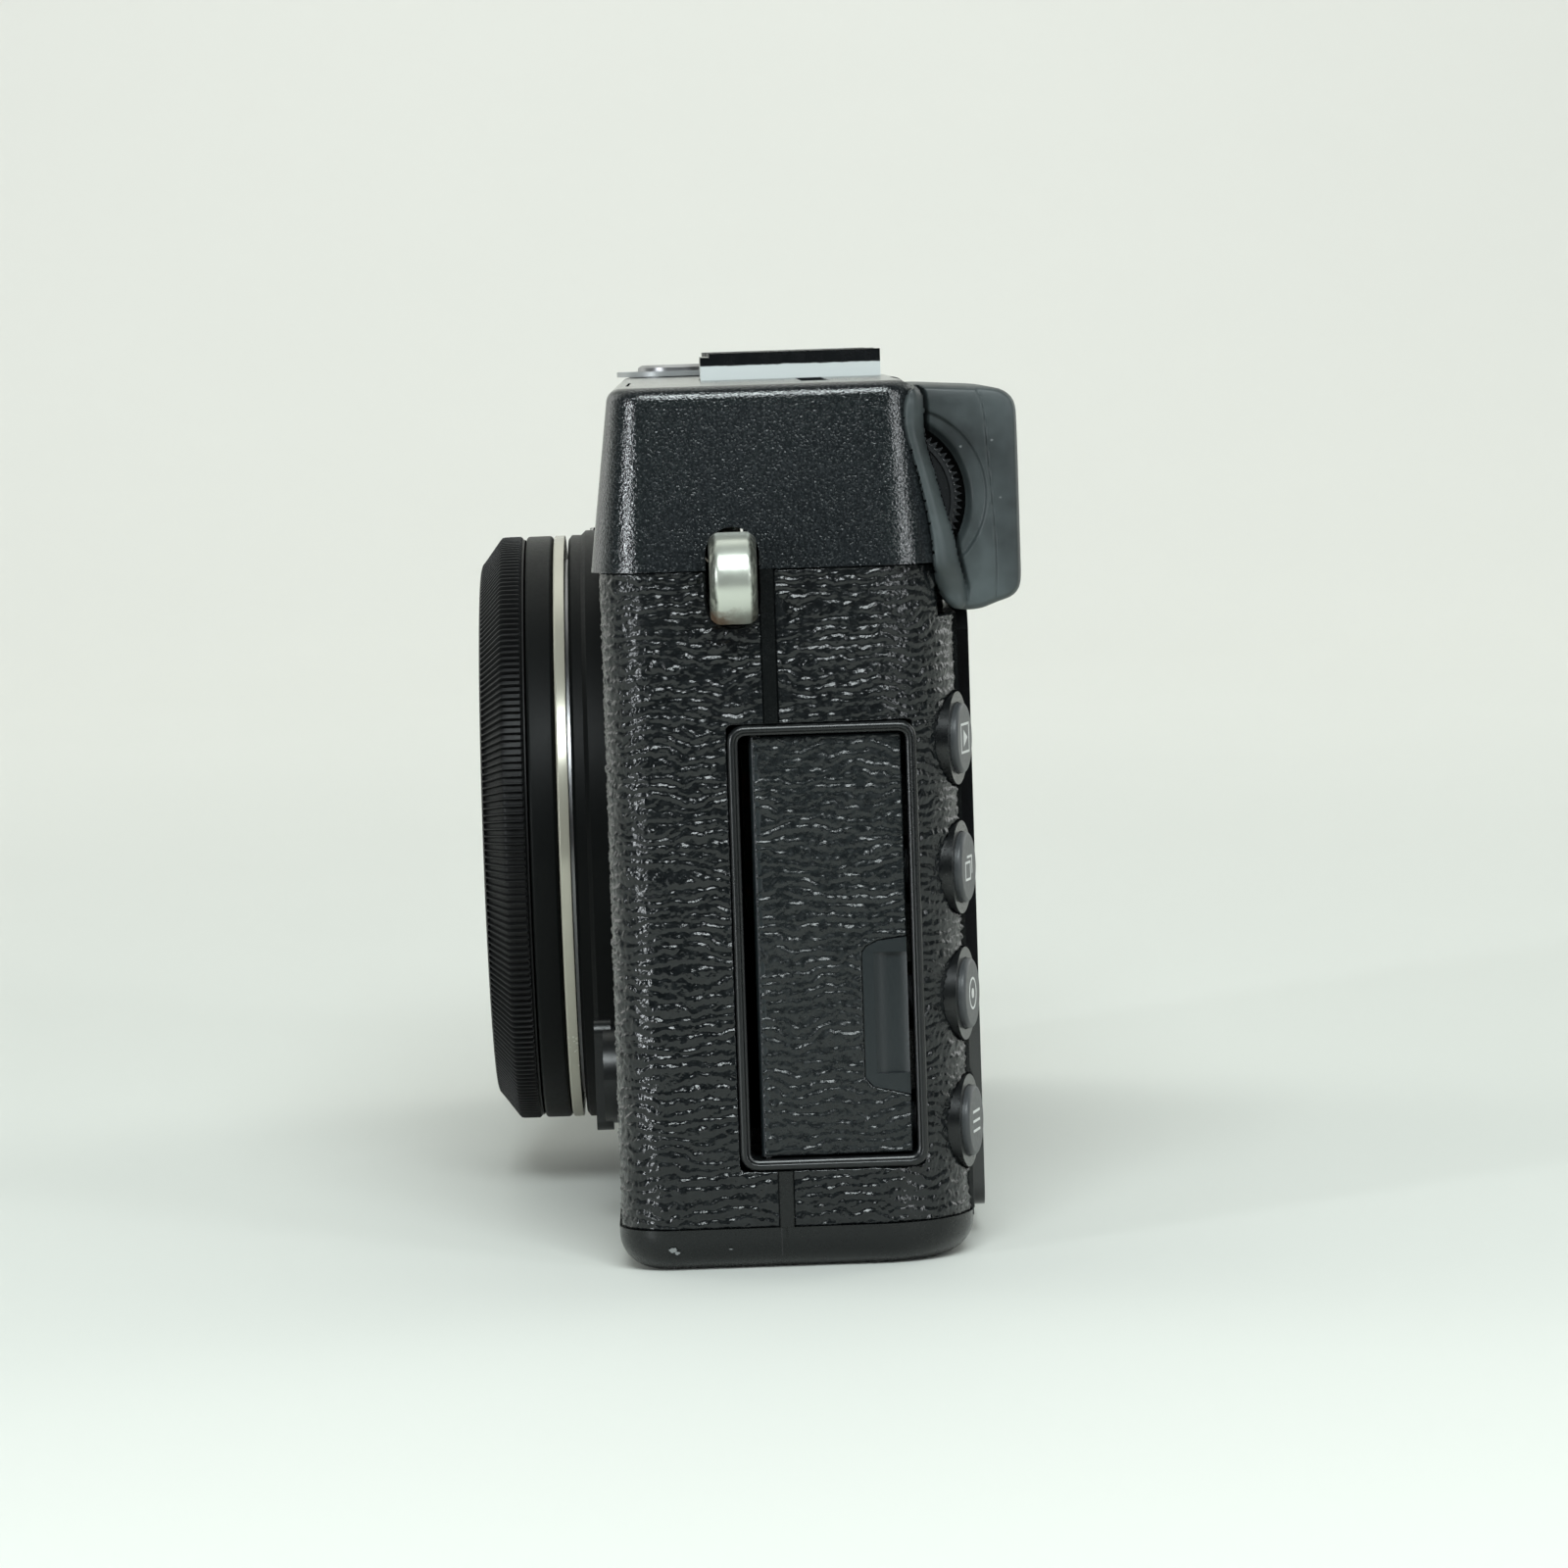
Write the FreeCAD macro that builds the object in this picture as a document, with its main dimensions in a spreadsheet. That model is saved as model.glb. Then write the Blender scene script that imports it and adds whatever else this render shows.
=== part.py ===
import FreeCAD, Part
import os, math
import Sketcher

# Mirrorless camera with a thin 27 mm class lens. Frame: +X photographer's left,
# -Y out through the lens, +Z up, origin under the middle of the body.
V = FreeCAD.Vector
doc = FreeCAD.newDocument("camera")
sheet = doc.addObject("Spreadsheet::Sheet", "dims")

SIZES = [
    ("half_width", 64.5), ("front_face", -11.7), ("rear_face", 17.75), ("base_z", 0.0),
    ("leather_bottom", 3.5), ("seam_z", 57.5), ("top_z", 72.5), ("leather_t", 0.6),
    ("skin_gap", 0.02), ("wall", 1.5), ("split_y", 2.05), ("front_corner", 4.5), ("rear_corner", 8.0),
    ("grip_depth", 2.35), ("lens_z", 31.9), ("lens_r", 26.75), ("throat_r", 22.0),
    ("mount_face", -15.35), ("lens_front", -23.15), ("knurl_front", -21.25), ("knurl_rear", -18.95),
    ("barrel_rear", -16.45), ("ring_split", -13.85), ("door_y_low", 0.45), ("door_y_high", 12.6),
    ("door_z_low", 9.25), ("door_z_high", 43.75), ("door_x", 63.75), ("rim_w", 0.7),
    ("shoe_gauge", 18.7), ("shoe_len", 15.4), ("shoe_z", 72.5), ("shoe_top", 74.9),
    ("dial_r", 7.9), ("comp_r", 7.0), ("dial_h", 2.2), ("button_travel", 0.4),
    ("lug_x", 65.7), ("lug_hole_x", 66.6), ("lug_y", -0.62), ("lug_z", 56.9), ("lug_r", 3.75), ("lug_hole_r", 1.5),
    ("tripod_r", 3.175), ("tripod_x", -9.0), ("tripod_y", 5.5), ("tripod_len", 5.5),
    ("diopter_y", 12.0), ("diopter_z", 62.7), ("diopter_r", 6.45),
    ("sensor_y", 2.35), ("cover_lean", 7.0), ("thread_r", 1.6),
]


class Q(float):
    """A number that remembers how it comes from the sheet."""
    def __new__(cls, v, text=None):
        o = float.__new__(cls, v)
        o.text = text if text is not None else "%.6f" % float(v)
        return o

    def __add__(a, b): return Q(float(a) + float(b), "(%s + %s)" % (tx(a), tx(b)))
    def __radd__(a, b): return Q(float(a) + float(b), "(%s + %s)" % (tx(b), tx(a)))
    def __sub__(a, b): return Q(float(a) - float(b), "(%s - %s)" % (tx(a), tx(b)))
    def __rsub__(a, b): return Q(float(b) - float(a), "(%s - %s)" % (tx(b), tx(a)))
    def __mul__(a, b): return Q(float(a) * float(b), "(%s * %s)" % (tx(a), tx(b)))
    def __rmul__(a, b): return Q(float(a) * float(b), "(%s * %s)" % (tx(b), tx(a)))
    def __truediv__(a, b): return Q(float(a) / float(b), "(%s / %s)" % (tx(a), tx(b)))
    def __neg__(a): return Q(-float(a), "(0 - %s)" % tx(a))


def tx(v):
    return v.text if isinstance(v, Q) else "%.6f" % float(v)


D = {}
for row, (word, value) in enumerate(SIZES, 1):
    cell = "A%d" % row
    sheet.set(cell, repr(value))
    sheet.setAlias(cell, word)
    D[word] = Q(value, "dims." + word)
doc.recompute()


class Dims:
    def __getattr__(self, word): return D[word]


d = Dims()
NODES = []
count = [0]


def fresh(stem):
    count[0] += 1
    return "%s_%d" % (stem, count[0])


def bind(obj, prop, value):
    obj.setExpression(prop, tx(value))


def place(obj, x, y, z):
    bind(obj, "Placement.Base.x", x)
    bind(obj, "Placement.Base.y", y)
    bind(obj, "Placement.Base.z", z)


TURN = {"z": (V(0, 0, 1), 0), "x": (V(0, 1, 0), 90), "y": (V(1, 0, 0), -90),
        "-z": (V(1, 0, 0), 180), "-x": (V(0, 1, 0), -90), "-y": (V(1, 0, 0), 90)}


def turn(obj, axis):
    a = TURN[axis] if isinstance(axis, str) else axis
    obj.Placement = FreeCAD.Placement(V(0, 0, 0), FreeCAD.Rotation(a[0], a[1]))


def box(x0, x1, y0, y1, z0, z1, stem="block"):
    o = doc.addObject("Part::Box", fresh(stem))
    bind(o, "Length", Q(x1) - x0 if not isinstance(x1, Q) and not isinstance(x0, Q) else x1 - x0)
    bind(o, "Width", y1 - y0)
    bind(o, "Height", z1 - z0)
    place(o, x0, y0, z0)
    return o


def cyl(r, length, x, y, z, axis="z", stem="round"):
    o = doc.addObject("Part::Cylinder", fresh(stem))
    turn(o, axis)
    bind(o, "Radius", r)
    bind(o, "Height", length)
    place(o, x, y, z)
    return o


def cone(r1, r2, length, x, y, z, axis="z", stem="taper"):
    o = doc.addObject("Part::Cone", fresh(stem))
    turn(o, axis)
    bind(o, "Radius1", r1)
    bind(o, "Radius2", r2)
    bind(o, "Height", length)
    place(o, x, y, z)
    return o


def fuse(parts, stem="joined"):
    if len(parts) == 1:
        return parts[0]
    o = doc.addObject("Part::MultiFuse", fresh(stem))
    o.Shapes = parts
    o.Refine = True
    return o


def cut(base, tools, stem="opened"):
    o = doc.addObject("Part::Cut", fresh(stem))
    o.Base = base
    o.Tool = fuse(tools, "tools") if isinstance(tools, list) else tools
    o.Refine = True
    return o


def common(parts, stem="shared"):
    o = doc.addObject("Part::MultiCommon", fresh(stem))
    o.Shapes = parts
    return o


def group(parts, stem="set"):
    o = doc.addObject("Part::Compound", fresh(stem))
    o.Links = parts
    return o


def near(a, b, tol=0.02):
    return abs(float(a) - float(b)) < tol


def edges_of(shape, test):
    out = []
    for i, e in enumerate(shape.Edges, 1):
        b = e.BoundBox
        if test(e, b):
            out.append(i)
    return out


def fillet(base, test, r, stem="rounded"):
    doc.recompute()
    o = doc.addObject("Part::Fillet", fresh(stem))
    o.Base = base
    ids = edges_of(base.Shape, test)
    if not ids:
        raise RuntimeError("no edges to round on " + stem)
    o.Edges = [(i, float(r), float(r)) for i in ids]
    return o


def chamfer(base, test, r, stem="bevelled"):
    doc.recompute()
    o = doc.addObject("Part::Chamfer", fresh(stem))
    o.Base = base
    ids = edges_of(base.Shape, test)
    if not ids:
        raise RuntimeError("no edges to bevel on " + stem)
    o.Edges = [(i, float(r), float(r)) for i in ids]
    return o


def upright(e, b):
    return b.XLength < 1e-3 and b.YLength < 1e-3 and b.ZLength > 0.1


def along_x(e, b):
    return b.ZLength < 1e-3 and b.YLength < 1e-3 and b.XLength > 0.1


def along_y(e, b):
    return b.ZLength < 1e-3 and b.XLength < 1e-3 and b.YLength > 0.1


def body(label):
    return doc.addObject("PartDesign::Body", label)


def sketch(bod, plane, offset=None):
    sk = bod.newObject("Sketcher::SketchObject", fresh("outline"))
    face = [o for o in bod.Origin.OriginFeatures if o.Role == plane + "_Plane"][0]
    sk.AttachmentSupport = (face, [""])
    sk.MapMode = "FlatFace"
    if offset is not None:
        sk.AttachmentOffset = FreeCAD.Placement(V(0, 0, float(offset)), FreeCAD.Rotation())
        bind(sk, "AttachmentOffset.Base.z", offset)
    return sk


def pin(sk, geo, end, x, y):
    k = sk.addConstraint(Sketcher.Constraint("DistanceX", -1, 1, geo, end, float(x)))
    if isinstance(x, Q):
        sk.setExpression("Constraints[%d]" % k, tx(x))
    k = sk.addConstraint(Sketcher.Constraint("DistanceY", -1, 1, geo, end, float(y)))
    if isinstance(y, Q):
        sk.setExpression("Constraints[%d]" % k, tx(y))


def polygon(sk, pts):
    n = len(pts)
    base = sk.GeometryCount
    for i in range(n):
        a, b = pts[i], pts[(i + 1) % n]
        sk.addGeometry(Part.LineSegment(V(a[0], a[1], 0), V(b[0], b[1], 0)), False)
    for i in range(n):
        sk.addConstraint(Sketcher.Constraint("Coincident", base + i, 2, base + (i + 1) % n, 1))
        pin(sk, base + i, 1, *pts[i])


def circle(sk, x, y, r):
    g = sk.addGeometry(Part.Circle(V(x, y, 0), V(0, 0, 1), float(r)), False)
    pin(sk, g, 3, x, y)
    k = sk.addConstraint(Sketcher.Constraint("Radius", g, float(r)))
    if isinstance(r, Q):
        sk.setExpression("Constraints[%d]" % k, tx(r))

def rounded(sk, x0, x1, y0, y1, rf, rr):
    """Rounded rectangle: corner radius rf along y0 and rr along y1."""

    corners = [(x0, y0, rf, 1, 1), (x1, y0, rf, -1, 1), (x1, y1, rr, -1, -1), (x0, y1, rr, 1, -1)]
    start = []
    for cx, cy, r, sx, sy in corners:
        start.append(((cx + sx * r, cy), (cx, cy + sy * r), (cx + sx * r, cy + sy * r)))
    seq = [(start[0][0], start[1][0]), (start[1][1], start[2][1]), (start[2][0], start[3][0]), (start[3][1], start[0][1])]
    base = sk.GeometryCount
    for a, b in seq:
        sk.addGeometry(Part.LineSegment(V(a[0], a[1], 0), V(b[0], b[1], 0)), False)
    for i, (a, b) in enumerate(seq):
        pin(sk, base + i, 1, *a)
        pin(sk, base + i, 2, *b)
    angles = [(math.pi, 1.5 * math.pi), (1.5 * math.pi, 2 * math.pi), (0, 0.5 * math.pi), (0.5 * math.pi, math.pi)]
    for i in range(4):
        c, r = start[i][2], corners[i][2]
        g = sk.addGeometry(Part.ArcOfCircle(Part.Circle(V(c[0], c[1], 0), V(0, 0, 1), float(r)), *angles[i]), False)
        sk.addConstraint(Sketcher.Constraint("Coincident", g, 2, base + i, 1))
        sk.addConstraint(Sketcher.Constraint("Coincident", g, 1, base + (i - 1) % 4, 2))
        k = sk.addConstraint(Sketcher.Constraint("Radius", g, float(r)))
        if isinstance(r, Q):
            sk.setExpression("Constraints[%d]" % k, tx(r))


def pad(bod, sk, length):
    p = bod.newObject("PartDesign::Pad", fresh("pad"))
    p.Profile = sk
    bind(p, "Length", length)
    return p


def revolve(label, pts, x=0.0, y=0.0, z=0.0, axis="y"):
    """Turned piece. pts are (radius, position along the axis)."""
    b = body(label)
    sk = sketch(b, "XZ" if axis == "z" else "XY")
    polygon(sk, pts)
    r = b.newObject("PartDesign::Revolution", fresh("turned"))
    r.Profile = sk
    r.ReferenceAxis = (sk, ["V_Axis"])
    r.Angle = 360
    place(b, x, y, z)
    return b


def node(obj, label):
    obj.Label = label
    NODES.append((label, obj))
    return obj

# ---------------------------------------------------------------- casing
hw = d.half_width
lt = d.leather_t


def outline_block(label, x, y0, y1, z0, z1, rf, rr):
    b = body(label)
    sk = sketch(b, "XY", z0)
    rounded(sk, -x, x, y0, y1, rf, rr)
    pad(b, sk, z1 - z0)
    return b


band = outline_block("band", hw, d.front_face, d.rear_face, d.base_z, d.leather_bottom, d.front_corner, d.rear_corner)
band_r = fillet(band, lambda e, b: near(b.ZMin, 0) and near(b.ZMax, 0), 2.9, "band_round")
core = outline_block("core", hw - lt, d.front_face + lt, d.rear_face - lt, d.leather_bottom - 0.5, d.seam_z,
                     d.front_corner - lt, d.rear_corner - lt)
rear_plate = box(-d.half_width + 7.0, d.half_width - 7.0, d.rear_face - lt - 1.0, d.rear_face, d.leather_bottom - 0.5, d.seam_z)
strips = fuse([box(hw - lt - 0.5, hw - 0.05, d.split_y - 0.5, d.split_y + 0.6, d.leather_bottom - 0.5, d.seam_z),
               box(-hw + 0.05, -hw + lt + 0.5, d.split_y - 0.5, d.split_y + 0.6, d.leather_bottom - 0.5, d.seam_z)])


def grip_block(label, z0, z1, grow):
    b = body(label)
    sk = sketch(b, "XY", z0)
    f, g = d.front_face, d.grip_depth
    polygon(sk, [(-43.5 + grow, f + 0.9), (-46.5 + grow, f - 1.2 - grow * 0.6), (-50.0 + grow * 0.5, f - g - grow + 0.6),
                 (-57.0 - grow * 0.5, f - g - grow + 0.6), (-60.0 - grow * 0.6, f - 1.2 - grow * 0.6), (-61.0, f + 0.9)])
    pad(b, sk, z1 - z0)
    return b


grip_core = grip_block("grip_core", d.leather_bottom, d.seam_z - 0.6, 0.0)
grip_core_r = fillet(grip_core, lambda e, b: upright(e, b) and e.Vertexes[0].Y < -12.0, 1.6, "grip_round")
joint_line = fuse([box(hw - 0.18, hw + 1.0, d.split_y - 0.07, d.split_y + 0.07, -1.0, d.leather_bottom), box(-hw - 1.0, -hw + 0.18, d.split_y - 0.07, d.split_y + 0.07, -1.0, d.leather_bottom),
                   box(-70, 70, d.split_y - 0.07, d.split_y + 0.07, -1.0, 0.18)])
solid_case = cut(fuse([band_r, core, rear_plate, strips, grip_core_r]), joint_line, "solid_case")

inner = outline_block("inner", hw - lt - d.wall, d.front_face + lt + d.wall, d.rear_face - lt - d.wall, 1.6, d.seam_z + 5.0,
                      3.0, 5.8)
mount_bore = cyl(21.0, 12.0, 0.0, d.front_face - 5.0, d.lens_z, "y")
# display window, its module sits behind the rear wall
lcd_hole = box(-22.2, 50.2, d.rear_face - 4.0, d.rear_face + 3.0, 2.3, 51.3)
# pocket behind the terminal door
term_hole = box(60.9, hw + 2.0, -1.65, 14.0, 8.1, 44.9)
term_well_out = box(57.4, 62.6, -2.9, 15.15, 6.9, 46.1)
term_well_in = box(58.6, hw + 2.0, -1.6, 13.9, 8.2, 44.8)
battery_hole = fuse([box(-59.2, -20.8, -8.25, 12.2, -1.0, 3.2), cyl(0.55, 42.0, -61.0, -6.9, 1.45, "x")])
tripod_hole = cyl(5.6, 4.0, d.tripod_x, d.tripod_y, -1.0, "z")


def lug_slot(side, r, start=61.8):
    """Round-ended slot in which a strap lug stands."""
    x0, x1 = (start, hw + 1.0) if side > 0 else (-hw - 1.0, -start)
    return fuse([box(x0, x1, d.lug_y - r, d.lug_y + r, d.lug_z - 1.9, d.lug_z + 1.9),
                 cyl(r, x1 - x0, x0, d.lug_y, d.lug_z + 1.9, "x"), cyl(r, x1 - x0, x0, d.lug_y, d.lug_z - 1.9, "x")], "lug_slot")


lug_slot_l, lug_slot_r = lug_slot(1, 2.2), lug_slot(-1, 2.2)

# buttons of the left column look out and sideways from the rear left corner
COLUMN_Z = [42.8, 32.1, 21.6, 11.0]
COLUMN_X, COLUMN_Y, COLUMN_TILT = 58.0, 16.8, 15.0
ct, st = math.cos(math.radians(COLUMN_TILT)), math.sin(math.radians(COLUMN_TILT))
COLUMN_DIR = V(st, ct, 0)


def column_cyl(r, start, length, z):
    """Round piece on a left column button's own line; start is counted outwards from the casing."""
    o = doc.addObject("Part::Cylinder", fresh("column"))
    o.Placement = FreeCAD.Placement(V(0, 0, 0), FreeCAD.Rotation(V(0, 0, 1), COLUMN_DIR))
    bind(o, "Radius", r)
    bind(o, "Height", length)
    place(o, COLUMN_X + st * start, COLUMN_Y + ct * start, z)
    return o


column_holes = fuse([column_cyl(3.25, -6.5, 9.0, z) for z in COLUMN_Z], "column_holes")
column_seats = fuse([column_cyl(3.95, -1.5, 6.0, z) for z in COLUMN_Z], "column_seats")

# rear buttons on the right hand side of the display
PAD_X, PAD_Z = -36.5, 25.5
REAR = {"pad_up": (PAD_X, PAD_Z + 8.6, 2.3), "pad_down": (PAD_X, PAD_Z - 8.6, 2.3),
        "pad_left": (PAD_X + 8.6, PAD_Z, 2.3), "pad_right": (PAD_X - 8.6, PAD_Z, 2.3),
        "ok_button": (PAD_X, PAD_Z, 3.6), "disp_button": (PAD_X + 5.0, 9.5, 2.5),
        "q_button": (-57.5, 45.5, 2.4)}
rear_holes = fuse([cyl(r + 0.15, 8.0, x, d.rear_face - 4.5, z, "y") for x, z, r in REAR.values()], "rear_holes")
command_slot = box(-56.5, -43.5, d.rear_face - 7.0, d.rear_face + 3.0, 50.9, 56.0)
command_back = box(-56.5, -43.5, d.rear_face - 7.0, d.rear_face - 1.0, 50.9, 56.0)

# front switch and lens release
SWITCH = (38.0, 13.4)
RELEASE = (-33.0, 14.5)
switch_hole = cyl(1.35, 8.0, SWITCH[0], d.front_face - 3.0, SWITCH[1], "y")
release_hole = cyl(3.35, 8.0, RELEASE[0], d.front_face - 3.0, RELEASE[1], "y")
PINS = (-20.6, -10.9)
SCREWS = [(23.3 * math.cos(math.radians(a)), 23.3 * math.sin(math.radians(a))) for a in (45, 135, 225, 315)]
ring_holes = fuse([cyl(0.85, 4.0, x, -12.5, d.lens_z + z, "y") for x, z in SCREWS] + [cyl(1.0, 5.0, PINS[0], -13.0, d.lens_z + PINS[1], "y")])
# the eyepiece sits in a notch of the rear wall
eye_notch = fuse([box(32.7, 61.3, 16.1, 30, 53.1, 80), box(34.9, 57.9, 12.8, 30, 55.3, 80)])

case_tools = [inner, mount_bore, lcd_hole, term_hole, battery_hole, tripod_hole, lug_slot_l, lug_slot_r,
              column_holes, column_seats, rear_holes, command_slot, switch_hole, release_hole, ring_holes, eye_notch, cyl(6.85, 2.2, 58.7, d.diopter_y, d.diopter_z, "x")]
casing = cut(solid_case, fuse(case_tools, "case_tools"), "casing")
well = cut(common([term_well_out, core]), [term_well_in, box(57, 60, 2.85, 6.55, 23.85, 36.55), box(57, 60, 2.85, 6.55, 11.85, 20.15), column_seats, column_holes], "well")
front_half = box(-70, 70, -30, d.split_y, -5, 80)
rear_half = box(-70, 70, d.split_y, 40, -5, 80)
front_case = common([casing, front_half], "front_case")
rear_case = common([casing, rear_half], "rear_case")

# leather is one ring round the casing, cut where it ends
ring_out = outline_block("ring_out", hw, d.front_face, d.rear_face, d.leather_bottom + 0.05, d.seam_z - 0.05, d.front_corner, d.rear_corner)
ring_in = outline_block("ring_in", hw - lt + d.skin_gap, d.front_face + lt - d.skin_gap, d.rear_face - lt + d.skin_gap,
                        d.leather_bottom - 1.0, d.seam_z + 1.0, d.front_corner - lt, d.rear_corner - lt)
grip_out = grip_block("grip_out", d.leather_bottom + 0.05, d.seam_z - 0.05, 0.6)
grip_out_r = fillet(grip_out, lambda e, b: upright(e, b) and e.Vertexes[0].Y < -12.0, 2.0, "grip_out_round")
grip_in = grip_block("grip_in", d.leather_bottom - 1.0, d.seam_z - 0.58, 0.03)
grip_in_r = fillet(grip_in, lambda e, b: upright(e, b) and e.Vertexes[0].Y < -12.0, 1.6, "grip_in_round")
ring = cut(fuse([ring_out, grip_out_r]), [ring_in, grip_in_r], "ring")
lug_clear = fuse([lug_slot(1, 2.3, 60.0), lug_slot(-1, 2.3, 60.0)])
frame_clear = box(60.0, hw + 2, -1.6, 13.95, 8.15, 44.85)
lf_tools = [box(-70, 70, d.split_y - 0.55, 40, -5, 80), lug_clear, frame_clear, cyl(27.3, 12.0, 0.0, d.front_face - 5.0, d.lens_z, "y"),
            cyl(4.6, 8.0, SWITCH[0], d.front_face - 3.0, SWITCH[1], "y"), cyl(4.1, 8.0, RELEASE[0], d.front_face - 3.0, RELEASE[1], "y"),
            cyl(3.4, 8.0, -33.5, d.front_face - 3.0, 51.0, "y")]
front_leather = cut(ring, fuse(lf_tools), "front_leather")
rear_l = cut(ring, fuse([box(-70, d.half_width - 6.95, -30, 40, -5, 80), box(50, 70, -30, d.split_y + 0.65, -5, 80), frame_clear, lug_clear, box(32.7, 61.3, 16.1, 30, 53.1, 80),
                         fuse([column_cyl(4.0, -3.0, 8.0, z) for z in COLUMN_Z])]), "rear_leather_l")
thumb = body("thumb")
tsk = sketch(thumb, "XY", 20.0)
polygon(tsk, [(-57.0, d.rear_face - 0.3), (-55.0, d.rear_face + 2.1), (-50.5, d.rear_face + 2.7), (-46.6, d.rear_face + 0.8), (-46.0, d.rear_face - 0.3)])
pad(thumb, tsk, 19.0)
thumb_r = fillet(thumb, lambda e, b: upright(e, b) and e.Vertexes[0].Y > 18.0, 1.2, "thumb_round")
rear_skin = box(-d.half_width + 6.9, -46.0, d.rear_face + 0.02, d.rear_face + 0.5, d.leather_bottom + 0.05, 48.6)
skin_step = box(-59.6, -57.0, d.rear_face - 0.4, d.rear_face + 0.5, d.leather_bottom + 0.05, 48.6)
skin_trim = box(-57.52, -50.0, d.rear_face - 2.0, d.rear_face + 0.02, 0, 60)
rear_r = cut(fuse([cut(skin_step, skin_trim), cut(ring, [box(-d.half_width + 6.95, 70, -30, 40, -5, 80), box(-70, -50, -30, d.split_y + 0.65, -5, 80)]), rear_skin,
                   cut(thumb_r, box(-70, -40, d.rear_face - 1.0, d.rear_face + 0.02, 0, 60))], "rear_r_sum"),
             [lug_clear, cyl(2.75, 8.0, REAR["q_button"][0], d.rear_face - 3.0, REAR["q_button"][1], "y"),
              cyl(2.6, 8.0, REAR["pad_right"][0], d.rear_face - 3.0, REAR["pad_right"][1], "y")], "rear_leather_r")

# ---------------------------------------------------------------- top cover
def tapered(label, grow, z0, z1, corner):
    """Top cover form, or the room inside it when grow is negative. All sides lean in by 7 degrees."""
    b = body(label)
    lo = sketch(b, "XY", z0)
    rounded(lo, -hw - grow, hw + grow, d.front_face - 0.5 - grow, d.rear_face - 0.9 + grow, corner, corner)
    p = pad(b, lo, z1 - z0)
    bind(p, "TaperAngle", -d.cover_lean)
    return b


cover_out = tapered("cover_out", 0.0, d.seam_z + 0.03, d.top_z, 5.0)
cover_r = fillet(cover_out, lambda e, b: near(b.ZMin, float(d.top_z)) and near(b.ZMax, float(d.top_z)), 1.2, "cover_round")
cover_in = tapered("cover_in", -1.3, d.seam_z - 0.5, d.top_z - 1.3, 3.7)

DIAL = (-32.5, 5.7)
COMP = (-54.3, 6.6)
SHUT = (-48.5, -5.0)
FN = (-58.6, -5.2)
SHOE_Y0 = -1.71
FLASH = (13.5, 44.5, -9.0, 8.2)
FLASH_BUTTON = (27.5, 66.3)
# posts carry the dials and buttons under the cover
posts = fuse([cyl(3.4, 5.5, DIAL[0], DIAL[1], d.top_z - 6.0), cyl(3.4, 5.5, COMP[0], COMP[1], d.top_z - 6.0),
              cyl(5.2, 5.5, SHUT[0], SHUT[1], d.top_z - 6.0), cyl(2.6, 5.5, FN[0], FN[1], d.top_z - 6.0),
              cut(box(FLASH[0] - 1.2, FLASH[1] + 1.2, FLASH[2] - 0.9, FLASH[3] + 1.2, 63.2, d.top_z - 0.4), box(FLASH[0], FLASH[1], FLASH[2], FLASH[3], 64.4, 80))], "posts")
posts_in = common([posts, cover_r])
cover_tools = [
    cyl(2.06, 12.0, DIAL[0], DIAL[1], 63.0), cyl(2.06, 12.0, COMP[0], COMP[1], 63.0),
    cyl(d.dial_r + 0.35, 3.0, DIAL[0], DIAL[1], d.top_z - 0.5), cyl(d.comp_r + 0.35, 3.0, COMP[0], COMP[1], d.top_z - 0.5),
    cyl(4.46, 12.0, SHUT[0], SHUT[1], 63.0), cyl(1.56, 12.0, FN[0], FN[1], 63.0),
    cyl(2.35, 3.0, FN[0], FN[1], d.top_z - 0.9),
    box(FLASH[0], FLASH[1], FLASH[2], FLASH[3], 64.4, 80),
    cyl(0.65, 34.0, 12.0, FLASH[3] - 1.6, d.top_z - 1.35, "x"), cyl(27.3, 10.0, 0.0, -20.0, d.lens_z, "y"),
    box(-d.shoe_gauge / 2 - 1.6, d.shoe_gauge / 2 + 1.6, SHOE_Y0 - 0.9, SHOE_Y0 + d.shoe_len + 0.05, d.top_z - 0.62, 80),
    box(-7.6, 7.6, SHOE_Y0 - 0.4, SHOE_Y0 + 13.6, d.top_z - 2.0, 80),
    # seat of the eyepiece
    box(32.7, 61.3, 13.7, 30, 50, 80), cyl(6.85, 2.2, 58.7, d.diopter_y, d.diopter_z, "x"),
    lug_slot(1, 2.2, 60.5), lug_slot(-1, 2.2, 60.5),
    cyl(2.05, 6.0, FLASH_BUTTON[0], 12.0, FLASH_BUTTON[1], "y"),
    box(-56.5, -43.5, 10.8, 30, 50, 58.9),
]
top_case = cut(fuse([cut(cover_r, cover_in), posts_in]), fuse(cover_tools, "cover_tools"), "top_case")
node(top_case, "top_cover")

# ---------------------------------------------------------------- terminal door side
node(front_case, "front_shell")
brackets = cut(fuse([box(-52.5, -47.5, 11.0, 16.0, 49.0, 50.85), box(-52.5, -47.5, 11.0, 16.0, 56.05, 57.45)]), cyl(1.05, 12.0, -50.0, d.rear_face - 4.6, 48.0))
node(fuse([rear_case, cut(well, box(50, 70, -10, d.split_y + 0.03, 0, 60)), brackets], "rear_sum"), "rear_shell")
node(front_leather, "front_leatherette")
node(rear_l, "rear_leatherette_left")
node(rear_r, "rear_leatherette_right")

frame_out = body("frame_out")
fsk = sketch(frame_out, "YZ", 61.0)
rounded(fsk, -1.55, 13.9, 8.2, 44.8, 1.4, 1.4)
pad(frame_out, fsk, hw + 0.12 - 61.0)
frame_in = box(58.0, 70.0, -1.55 + d.rim_w, 13.9 - d.rim_w, 8.2 + d.rim_w, 44.8 - d.rim_w)
rim = cut(frame_out, [frame_in, cyl(0.32, 35.8, 63.0, 0.75, 8.6)], "rim")
node(rim, "terminal_frame")

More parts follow.
